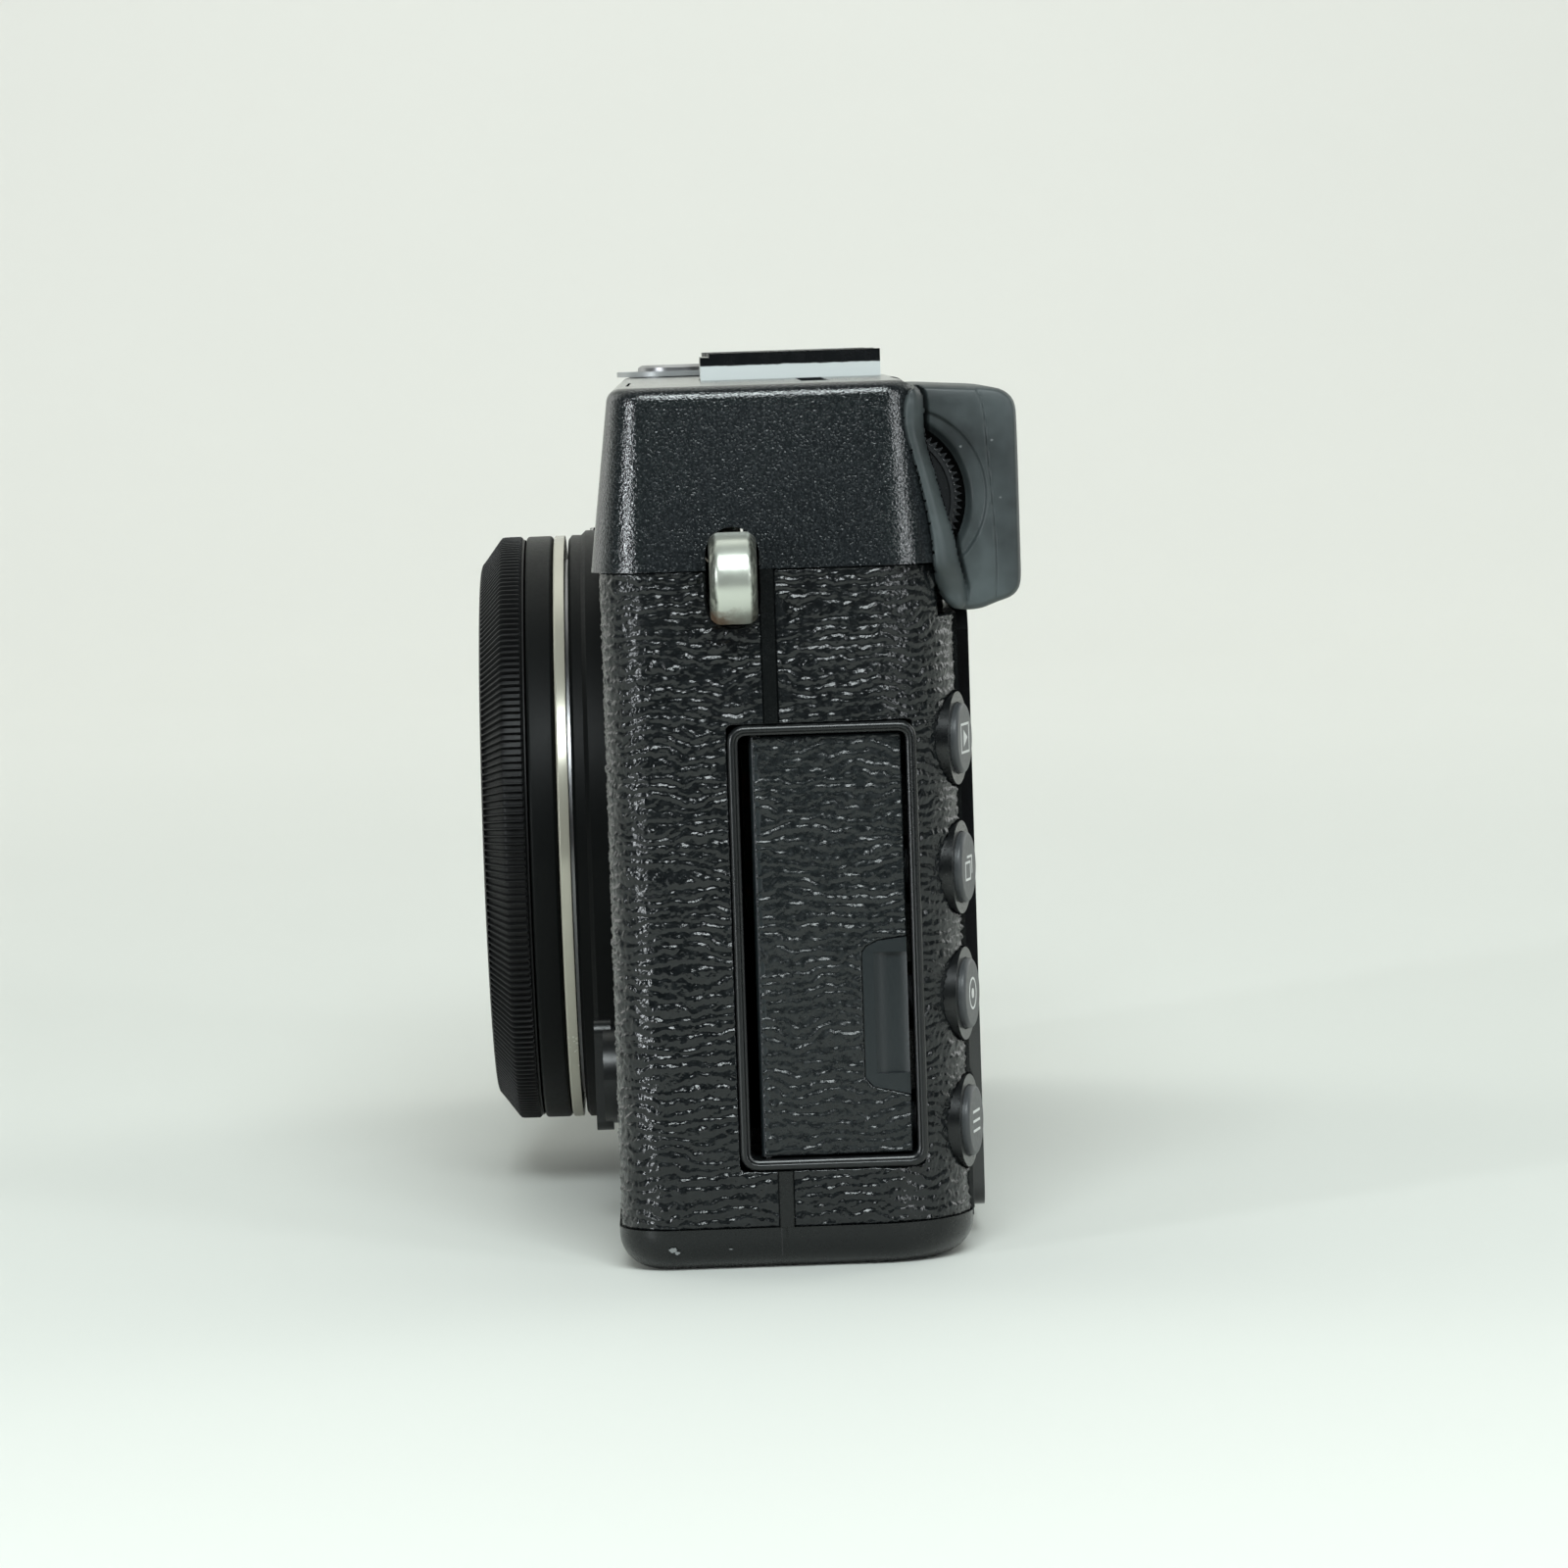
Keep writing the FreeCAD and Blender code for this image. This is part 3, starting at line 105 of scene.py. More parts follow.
def ramp(nt, fac, stops):
    r = nt.nodes.new("ShaderNodeValToRGB")
    cr = r.color_ramp
    while len(cr.elements) > 1:
        cr.elements.remove(cr.elements[-1])
    cr.elements[0].position = stops[0][0]
    cr.elements[0].color = (*stops[0][1], 1)
    for p, c in stops[1:]:
        e = cr.elements.new(p)
        e.color = (*c, 1)
    nt.links.new(fac, r.inputs[0])
    return r.outputs[0]


def remap(nt, fac, a, b, c, d):
    r = nt.nodes.new("ShaderNodeMapRange")
    for k, v in zip(("From Min", "From Max", "To Min", "To Max"), (a, b, c, d)):
        r.inputs[k].default_value = v
    nt.links.new(fac, r.inputs["Value"])
    return r.outputs[0]


def mix(nt, fac, a, b, blend="MIX"):
    m = nt.nodes.new("ShaderNodeMix")
    m.data_type = "RGBA"
    m.blend_type = blend
    for sock, v in ((m.inputs[0], fac), (m.inputs[6], a), (m.inputs[7], b)):
        if isinstance(v, (int, float)):
            sock.default_value = v
        elif isinstance(v, tuple):
            sock.default_value = (*v, 1)
        else:
            nt.links.new(v, sock)
    return m.outputs[2]


def math_node(nt, op, a, b=None):
    m = nt.nodes.new("ShaderNodeMath")
    m.operation = op
    for i, v in enumerate((a, b)):
        if v is None:
            continue
        if isinstance(v, (int, float)):
            m.inputs[i].default_value = v
        else:
            nt.links.new(v, m.inputs[i])
    return m.outputs[0]


def bump(nt, height, strength, dist, normal=None):
    b = nt.nodes.new("ShaderNodeBump")
    b.inputs["Strength"].default_value = strength
    b.inputs["Distance"].default_value = dist
    nt.links.new(height, b.inputs["Height"])
    if normal is not None:
        nt.links.new(normal, b.inputs["Normal"])
    return b.outputs[0]


def voronoi(nt, vec, scale, feature="F1"):
    v = nt.nodes.new("ShaderNodeTexVoronoi")
    v.feature = feature
    v.inputs["Scale"].default_value = scale
    nt.links.new(vec, v.inputs["Vector"])
    return v.outputs["Distance"]


def edge_wear_and_glint(nt, amount=0.5):
    # Pointiness mask of sharp edges; the lighter colour it carries is partly edge wear, partly a painted highlight.
    g = nt.nodes.new("ShaderNodeNewGeometry")
    return remap(nt, g.outputs["Pointiness"], 0.53, 0.62, 0.0, amount)


# ------------------------------------------------------------------ materials
def satin(name, dark, light, rough, grain, grain_bump, size=2600.0, spec=0.5, metallic=0.0, wear_and_glint=0.0):
    """Moulded or painted finish: colour drifts slightly, a fine grain breaks the gloss."""
    m, nt, b = new_mat(name)
    v = coords(nt)
    big = noise(nt, v, 45.0, 4.0, 0.6)
    fine = noise(nt, v, size, 3.0, 0.6)
    col = mix(nt, remap(nt, big, 0.3, 0.7, 0.0, 1.0), dark, light)
    # Sharp edges get a lighter colour: partly edge wear, partly a painted highlight on rib and tooth edges.
    if wear_and_glint > 0:
        col = mix(nt, edge_wear_and_glint(nt, wear_and_glint), col, tuple(min(1.0, c * 4 + 0.05) for c in light))
    nt.links.new(col, b.inputs["Base Color"])
    r = math_node(nt, "ADD", remap(nt, big, 0.25, 0.75, rough - 0.05, rough + 0.05), remap(nt, fine, 0.2, 0.8, -grain, grain))
    nt.links.new(r, b.inputs["Roughness"])
    b.inputs["Specular IOR Level"].default_value = spec
    b.inputs["Metallic"].default_value = metallic
    nt.links.new(bump(nt, fine, grain_bump, 0.00008), b.inputs["Normal"])
    return m


def pebble_paint():
    m, nt, b = new_mat("pebble_paint")
    v = coords(nt)
    big = noise(nt, v, 40.0, 4.0, 0.6)
    grain = noise(nt, v, 5000.0, 1.5, 0.55, 0.0)
    col = mix(nt, remap(nt, big, 0.3, 0.7, 0.0, 1.0), (0.0070, 0.0086, 0.0096), (0.0098, 0.0118, 0.0130))
    # lighter specks on the grain: partly the paint's stipple, partly painted glints
    col = mix(nt, remap(nt, grain, 0.44, 0.68, 0.0, 1.0), col, (0.0210, 0.0245, 0.0268))
    nt.links.new(col, b.inputs["Base Color"])
    grain2 = noise(nt, v, 10500.0, 1.0, 0.5)
    h = math_node(nt, "ADD", math_node(nt, "MULTIPLY", grain, 0.8), math_node(nt, "MULTIPLY", grain2, 0.25))
    nt.links.new(remap(nt, grain, 0.25, 0.75, 0.09, 0.17), b.inputs["Roughness"])
    nt.links.new(remap(nt, h, 0.36, 0.66, 0.32, 0.90), b.inputs["Specular IOR Level"])
    nt.links.new(bump(nt, h, 0.60, 0.000085), b.inputs["Normal"])
    return m


def leather(name, dark, light, rough):
    m, nt, b = new_mat(name)
    v = coords(nt)
    big = noise(nt, v, 60.0, 4.0, 0.6)
    fine = noise(nt, v, 3600.0, 2.0, 0.6)
    mid = noise(nt, v, 2000.0, 2.0, 0.55)
    col = mix(nt, remap(nt, mid, 0.35, 0.65, 0.0, 1.0), dark, light)
    nt.links.new(col, b.inputs["Base Color"])
    r = math_node(nt, "ADD", remap(nt, big, 0.25, 0.75, rough - 0.05, rough + 0.06), remap(nt, mid, 0.2, 0.8, -0.06, 0.08))
    nt.links.new(r, b.inputs["Roughness"])
    h = math_node(nt, "ADD", math_node(nt, "MULTIPLY", mid, 0.75), math_node(nt, "MULTIPLY", fine, 0.30))
    nt.links.new(bump(nt, h, 0.50, 0.00015), b.inputs["Normal"])
    return m


def rubber_mat():
    m, nt, b = new_mat("eyecup_rubber")
    v = coords(nt)
    big = noise(nt, v, 110.0, 4.0, 0.55)
    dust = noise(nt, v, 1500.0, 2.0, 0.6)
    spots = voronoi(nt, v, 620.0)
    col = mix(nt, remap(nt, big, 0.36, 0.64, 0.0, 1.0), (0.013, 0.017, 0.018), (0.056, 0.070, 0.072))
    speck = remap(nt, math_node(nt, "ADD", spots, remap(nt, dust, 0.3, 0.7, 0.0, 0.2)), 0.10, 0.15, 0.7, 0.0)
    col = mix(nt, speck, col, (0.16, 0.17, 0.17))
    nt.links.new(col, b.inputs["Base Color"])
    nt.links.new(remap(nt, big, 0.25, 0.75, 0.42, 0.56), b.inputs["Roughness"])
    b.inputs["Specular IOR Level"].default_value = 0.5
    nt.links.new(bump(nt, dust, 0.12, 0.0001), b.inputs["Normal"])
    return m


def metal(name, a, c, rough, scratch=1.0):
    m, nt, b = new_mat(name)
    v = coords(nt)
    big = noise(nt, v, 160.0, 4.0, 0.6)
    streak = noise(nt, coords(nt, (1.0, 0.25, 1.0)), 3000.0, 2.0, 0.6)
    nt.links.new(mix(nt, remap(nt, big, 0.3, 0.7, 0.0, 1.0), a, c), b.inputs["Base Color"])
    b.inputs["Metallic"].default_value = 1.0
    nt.links.new(remap(nt, big, 0.25, 0.75, rough * 0.8, rough * 1.25), b.inputs["Roughness"])
    nt.links.new(bump(nt, streak, 0.05 * scratch, 0.00004), b.inputs["Normal"])
    return m


def shoe_mat():
    """Accessory shoe: dark rails above; below them bare metal, whose pale diffuse colour is a painted reflection."""
    m, nt, b = new_mat("shoe_plate")
    v = coords(nt)
    sep = nt.nodes.new("ShaderNodeSeparateXYZ")
    tc = nt.nodes.new("ShaderNodeTexCoord")
    nt.links.new(tc.outputs["Object"], sep.inputs[0])
    n = noise(nt, v, 700.0, 3.0, 0.6)
    zz = math_node(nt, "ADD", sep.outputs["Z"], remap(nt, n, 0.3, 0.7, -0.00004, 0.00004))
    # below the rails the foot gets a pale diffuse colour: bare metal with its bright reflection painted in
    up = remap(nt, zz, 0.07372, 0.07382, 0.0, 1.0)
    nt.links.new(mix(nt, up, (0.60, 0.64, 0.63), (0.0040, 0.0048, 0.0056)), b.inputs["Base Color"])
    nt.links.new(remap(nt, up, 0.0, 1.0, 0.05, 0.0), b.inputs["Metallic"])
    nt.links.new(math_node(nt, "ADD", remap(nt, up, 0.0, 1.0, 0.42, 0.26), remap(nt, n, 0.3, 0.7, -0.04, 0.04)), b.inputs["Roughness"])
    nt.links.new(bump(nt, n, 0.08, 0.00006), b.inputs["Normal"])
    return m


def lug_chrome():
    """Polished lug; its bevels carry a painted dark reflection with lighter painted streaks, and there is a little rust
    low down.
    """
    m, nt, b = new_mat("lug_chrome")
    v = coords(nt)
    sep = nt.nodes.new("ShaderNodeSeparateXYZ")
    tc = nt.nodes.new("ShaderNodeTexCoord")
    nt.links.new(tc.outputs["Object"], sep.inputs[0])
    n = noise(nt, v, 900.0, 4.0, 0.65)
    streak = noise(nt, coords(nt, (1.0, 1.0, 0.18)), 2600.0, 3.0, 0.6)
    off = math_node(nt, "ABSOLUTE", math_node(nt, "ADD", sep.outputs["Y"], 0.00062))
    side = remap(nt, math_node(nt, "ADD", off, remap(nt, n, 0.2, 0.8, -0.00012, 0.00012)), 0.00128, 0.00150, 0.0, 1.0)
    zz = math_node(nt, "ADD", sep.outputs["Z"], remap(nt, n, 0.2, 0.8, -0.0009, 0.0009))
    yy = remap(nt, sep.outputs["Y"], -0.0016, 0.0004, 1.0, 0.25)
    rust = math_node(nt, "MULTIPLY", remap(nt, zz, 0.0546, 0.0534, 0.0, 0.9), yy)
    # the bevels are darkened and streaked in colour: a painted reflection
    clean = mix(nt, side, (0.62, 0.65, 0.58), (0.085, 0.09, 0.078))
    clean = mix(nt, math_node(nt, "MULTIPLY", side, remap(nt, streak, 0.48, 0.62, 0.0, 0.8)), clean, (0.30, 0.31, 0.27))
    col = mix(nt, rust, clean, (0.13, 0.06, 0.025))
    nt.links.new(col, b.inputs["Base Color"])
    nt.links.new(remap(nt, rust, 0.0, 1.0, 0.78, 0.25), b.inputs["Metallic"])
    r = math_node(nt, "ADD", remap(nt, rust, 0.0, 1.0, 0.30, 0.5), remap(nt, side, 0.0, 1.0, 0.0, 0.10))
    nt.links.new(math_node(nt, "ADD", r, remap(nt, n, 0.3, 0.7, -0.02, 0.05)), b.inputs["Roughness"])
    nt.links.new(bump(nt, math_node(nt, "ADD", n, math_node(nt, "MULTIPLY", streak, side)), 0.14, 0.00007), b.inputs["Normal"])
    return m


def screen_mat():
    m, nt, b = new_mat("display_gloss")
    v = coords(nt)
    smear = noise(nt, v, 70.0, 5.0, 0.6, 0.4)
    nt.links.new(mix(nt, remap(nt, smear, 0.3, 0.7, 0.0, 1.0), (0.004, 0.0045, 0.005), (0.008, 0.008, 0.010)), b.inputs["Base Color"])
    nt.links.new(remap(nt, smear, 0.3, 0.7, 0.06, 0.16), b.inputs["Roughness"])
    b.inputs["Coat Weight"].default_value = 0.6
    b.inputs["Coat Roughness"].default_value = 0.05
    return m


def lens_glass():
    m, nt, b = new_mat("coated_glass")
    v = coords(nt)
    tint = noise(nt, v, 80.0, 2.0, 0.5)
    nt.links.new(ramp(nt, tint, [(0.35, (0.010, 0.004, 0.022)), (0.5, (0.004, 0.012, 0.016)), (0.65, (0.012, 0.006, 0.004))]), b.inputs["Base Color"])
    nt.links.new(remap(nt, tint, 0.3, 0.7, 0.02, 0.05), b.inputs["Roughness"])
    b.inputs["Coat Weight"].default_value = 1.0
    b.inputs["Coat Roughness"].default_value = 0.02
    b.inputs["Coat Tint"].default_value = (0.75, 0.7, 1.0, 1.0)
    return m


def board_mat():
    m, nt, b = new_mat("circuit_board")
    v = coords(nt)
    cells = voronoi(nt, v, 260.0)
    nt.links.new(ramp(nt, cells, [(0.0, (0.006, 0.05, 0.02)), (0.5, (0.01, 0.08, 0.035)), (0.9, (0.12, 0.10, 0.03))]), b.inputs["Base Color"])
    nt.links.new(remap(nt, cells, 0.0, 1.0, 0.35, 0.55), b.inputs["Roughness"])
    return m


M = {
    "paint": pebble_paint(),
    "leather": leather("leatherette", (0.0036, 0.0046, 0.0052), (0.0064, 0.0080, 0.0088), 0.19),
    "leather_dull": leather("leatherette_door", (0.0050, 0.0066, 0.0074), (0.0086, 0.0112, 0.0122), 0.25),
    "plastic": satin("satin_plastic", (0.0042, 0.0050, 0.0054), (0.0066, 0.0076, 0.0082), 0.30, 0.05, 0.10),
    "band": satin("smooth_paint", (0.0030, 0.0038, 0.0040), (0.0050, 0.0060, 0.0062), 0.26, 0.05, 0.10, spec=0.40),
    "lens": satin("lens_black", (0.0028, 0.0034, 0.0034), (0.0044, 0.0050, 0.0050), 0.46, 0.05, 0.08, spec=0.12),
    "knurl": satin("knurl_black", (0.0046, 0.0048, 0.0050), (0.0082, 0.0084, 0.0086), 0.50, 0.05, 0.10, spec=0.28, wear_and_glint=0.08),
    "wheel": satin("wheel_black", (0.010, 0.011, 0.012), (0.018, 0.019, 0.020), 0.24, 0.05, 0.10, wear_and_glint=0.45),
    "button": satin("button_grey", (0.038, 0.041, 0.044), (0.055, 0.059, 0.062), 0.42, 0.06, 0.16),
    "dark": satin("inner_black", (0.004, 0.004, 0.0045), (0.007, 0.007, 0.0075), 0.6, 0.05, 0.1),
    "grip": satin("door_plastic", (0.0085, 0.0120, 0.0135), (0.0125, 0.0170, 0.0190), 0.34, 0.05, 0.16),
    # the power lever's pale grey is a painted reflection
    "lever": satin("lever_painted_reflection", (0.28, 0.29, 0.29), (0.36, 0.37, 0.37), 0.34, 0.05, 0.10, metallic=0.3),
    "diffuser": satin("flash_diffuser", (0.50, 0.52, 0.53), (0.60, 0.62, 0.62), 0.16, 0.03, 0.04, spec=0.7),
    "chip": satin("bare_spot", (0.06, 0.065, 0.065), (0.20, 0.21, 0.21), 0.5, 0.08, 0.2),
    "mark": satin("white_mark", (0.55, 0.56, 0.55), (0.66, 0.67, 0.66), 0.5, 0.05, 0.1),
    "rubber": rubber_mat(),
    "chrome": metal("bright_metal", (0.62, 0.62, 0.60), (0.75, 0.75, 0.72), 0.16),
    # the mount flange's warm pale diffuse colour is partly the chrome and partly a painted reflection
    "flange": satin("flange_plate", (0.42, 0.40, 0.33), (0.50, 0.48, 0.40), 0.24, 0.01, 0.01, spec=0.8, metallic=0.35),
    "alloy": metal("turned_alloy", (0.30, 0.30, 0.31), (0.40, 0.40, 0.41), 0.32),
    "dark_steel": metal("dark_steel", (0.03, 0.03, 0.03), (0.05, 0.05, 0.05), 0.4),
    "gold": metal("contact_gold", (0.72, 0.52, 0.22), (0.80, 0.60, 0.28), 0.25),
    "shoe": shoe_mat(),
    "lug": lug_chrome(),
    "screen": screen_mat(),
    "glass": lens_glass(),
    "board": board_mat(),
}


def give(ob, key):
    ob.data.materials.clear()
    ob.data.materials.append(M[key])


DEFAULT = {
    "paint": ["top_cover", "flash_unit"],
    "shoe": ["hot_shoe"],
    "band": ["front_shell", "rear_shell", "shutter_speed_dial", "exposure_dial", "battery_door"],
    "grip": ["terminal_door"],
    "lever": ["power_lever"],
    "leather": ["front_leatherette", "rear_leatherette_left", "rear_leatherette_right"],
    "leather_dull": ["terminal_door_leatherette"],
    "lens": ["mount_surround", "lens_barrel", "lens_front_ring"],
    "plastic": ["terminal_frame", "button_bezels", "focus_mode_switch", "eyepiece_frame",
                "contact_block", "viewfinder_module", "focus_cell", "diopter_dial", "hot_shoe_contacts"],
    "knurl": ["focus_ring", "command_dial"],
    "button": ["playback_button", "drive_button", "metering_button", "function_button", "pad_up", "pad_down", "pad_left", "pad_right", "ok_button",
               "disp_button", "q_button", "fn_button", "flash_release_button"],
    "rubber": ["eyecup"],
    "chrome": ["mount_screws", "tripod_socket", "terminal_sockets"],
    "flange": ["lens_mount_plate"],
    "alloy": ["shutter_button", "lens_release_button", "chassis_plate", "lens_mount_ring"],
    "dark_steel": ["hinge_pins"],
    "lug": ["strap_lugs"],
    "screen": ["display_glass"],
    "glass": ["lens_elements", "focus_lamp_window"],
    "board": ["display_panel", "main_board", "image_sensor"],
    "dark": ["shutter_frame", "battery"],
}
for key, names in DEFAULT.items():
    for n in names:
        give(N[n], key)
missing = [n for n in N if n not in sum(DEFAULT.values(), [])]
if missing:
    raise RuntimeError("no material for " + str(missing))


# ------------------------------------------------------------------ grained skins
def worley(u, v, seed):
    """Distances to the nearest and second nearest point of a jittered grid."""
    rng = np.random.RandomState(seed)
    T = 64
    jx, jy = rng.rand(T, T), rng.rand(T, T)
    iu, iv = np.floor(u).astype(int), np.floor(v).astype(int)
    d1, d2 = np.full(u.shape, 9.0), np.full(u.shape, 9.0)
    hid = np.zeros(u.shape)
    hv = rng.rand(T, T)
    for a in (-1, 0, 1):
        for b in (-1, 0, 1):
            cu, cv = iu + a, iv + b
            px, py = cu + jx[cu % T, cv % T], cv + jy[cu % T, cv % T]
            d = np.hypot(u - px, v - py)
            near = d < d1
            d2 = np.where(near, d1, np.minimum(d2, d))
            hid = np.where(near, hv[cu % T, cv % T], hid)
            d1 = np.where(near, d, d1)
    return d1, d2, hid


def value_noise(u, v, seed):
    rng = np.random.RandomState(seed)
    T = 128
    g = rng.rand(T, T)
    iu, iv = np.floor(u).astype(int), np.floor(v).astype(int)
    fu, fv = u - iu, v - iv
    fu, fv = fu * fu * (3 - 2 * fu), fv * fv * (3 - 2 * fv)
    a, b = g[iu % T, iv % T], g[(iu + 1) % T, iv % T]
    c, d = g[iu % T, (iv + 1) % T], g[(iu + 1) % T, (iv + 1) % T]
    return (a * (1 - fu) + b * fu) * (1 - fv) + (c * (1 - fu) + d * fu) * fv


def smooth(x, a, b):
    t = np.clip((x - a) / (b - a), 0, 1)
    return t * t * (3 - 2 * t)


def grain(s, z, seed=5):
    """Height 0..1 of the grain at arc position s and height z, both in mm: wavy rows of small curls."""
    wz = (value_noise(s / 3.0, z / 2.4, seed + 1) - 0.5) * 1.25 + (value_noise(s / 1.1, z / 0.8, seed + 2) - 0.5) * 0.50 + (value_noise(s / 0.36, z / 0.34, seed + 3) - 0.5) * 0.20
    ws = (value_noise(s / 1.6, z / 0.8, seed + 4) - 0.5) * 1.2 + (value_noise(s / 0.5, z / 0.4, seed + 8) - 0.5) * 0.30
    u, v = s + ws, z + wz
    # rows: one ridge each 0.86 mm, steeper on its upper side, with low spots along it
    ph = v / 0.86
    f = ph - np.floor(ph)
    row = np.where(f < 0.58, smooth(f, 0.0, 0.58), 1 - smooth(f, 0.62, 1.0))
    low = value_noise(u / 0.95, np.floor(ph) * 3.7 + 0.3, seed + 9)
    row = row * (0.20 + 0.80 * low)
    d1, d2, hid = worley(u / 1.5, v / 0.86, seed)
    island = smooth(d2 - d1, 0.02, 0.36)
    b1, b2, hb = worley(u / 0.46 + 5.2, v / 0.40 + 1.7, seed + 11)
    curls = np.clip(1 - b1 * b1 * 2.0, 0, 1) * smooth(b2 - b1, 0.0, 0.26)
    big = value_noise(s / 4.0, z / 3.0, seed + 6)
    fine = value_noise(s / 0.17, z / 0.17, seed + 7)
    h = 0.28 * row + island * (0.05 + 0.14 * hid) + 0.54 * curls * (0.35 + 0.65 * row) * (0.25 + 0.75 * hb) + 0.08 * fine + 0.05 * big
    return np.clip(h, 0, 1)


def sd_poly(s, z, pts, r=0.0):
    """Signed distance to a closed polygon, negative inside, corners rounded by r."""
    pts = np.array(pts, float)
    d = np.full(s.shape, 1e9)
    sign = np.ones(s.shape)
    j = len(pts) - 1
    for i in range(len(pts)):
        ex, ez = pts[j] - pts[i]
        wx, wz = s - pts[i][0], z - pts[i][1]
        t = np.clip((wx * ex + wz * ez) / (ex * ex + ez * ez), 0, 1)
        d = np.minimum(d, (wx - ex * t) ** 2 + (wz - ez * t) ** 2)
        c1, c2, c3 = z >= pts[i][1], z < pts[j][1], ex * wz > ez * wx
        flip = (c1 & c2 & c3) | (~c1 & ~c2 & ~c3)
        sign = np.where(flip, -sign, sign)
        j = i
    return sign * np.sqrt(d) - r


def sd_box(s, z, s0, s1, z0, z1, r=0.0):
    qx = np.abs(s - (s0 + s1) / 2) - (s1 - s0) / 2 + r
    qz = np.abs(z - (z0 + z1) / 2) - (z1 - z0) / 2 + r
    return np.hypot(np.maximum(qx, 0), np.maximum(qz, 0)) + np.minimum(np.maximum(qx, qz), 0) - r


def sd_circle(s, z, cs, cz, r):
    return np.hypot(s - cs, z - cz) - r


def sd_capsule(s, z, cs, cz, half, r):
    dz = np.maximum(np.abs(z - cz) - half, 0)
    return np.hypot(s - cs, dz) - r


class Path:
    """Plan path of lines and arcs; s runs along it, the outside is on its left."""
    def __init__(self, start):
        self.p = [np.array(start, float)]
        self.s = [0.0]
        self.n = []

    def line(self, to, step):
        a, b = self.p[-1], np.array(to, float)
        L = np.linalg.norm(b - a)
        k = max(1, int(round(L / step)))
        t = (b - a) / L
        nrm = np.array((-t[1], t[0]))
        if not self.n:
            self.n.append(nrm)
        else:
            self.n[-1] = self._mean(self.n[-1], nrm)
        s0 = self.s[-1]
        for i in range(1, k + 1):
            self.p.append(a + (b - a) * i / k)
            self.s.append(s0 + L * i / k)
            self.n.append(nrm)
        return self

    def arc(self, centre, to_angle, step):
        c = np.array(centre, float)
        a0 = math.atan2(*(self.p[-1] - c)[::-1])
        r = np.linalg.norm(self.p[-1] - c)
        a1 = math.radians(to_angle)
        while a1 - a0 > math.pi:
            a1 -= 2 * math.pi
        while a1 - a0 < -math.pi:
            a1 += 2 * math.pi
        k = max(4, int(round(abs(a1 - a0) * r / step)))
        s0 = self.s[-1]
        if not self.n:
            self.n.append(np.array((math.cos(a0), math.sin(a0))))
        for i in range(1, k + 1):
            a = a0 + (a1 - a0) * i / k
            self.p.append(c + r * np.array((math.cos(a), math.sin(a))))
            self.s.append(s0 + abs(a1 - a0) * r * i / k)
            self.n.append(np.array((math.cos(a), math.sin(a))))
        return self

    def _mean(self, a, b):
        m = a + b
        return m / np.linalg.norm(m)


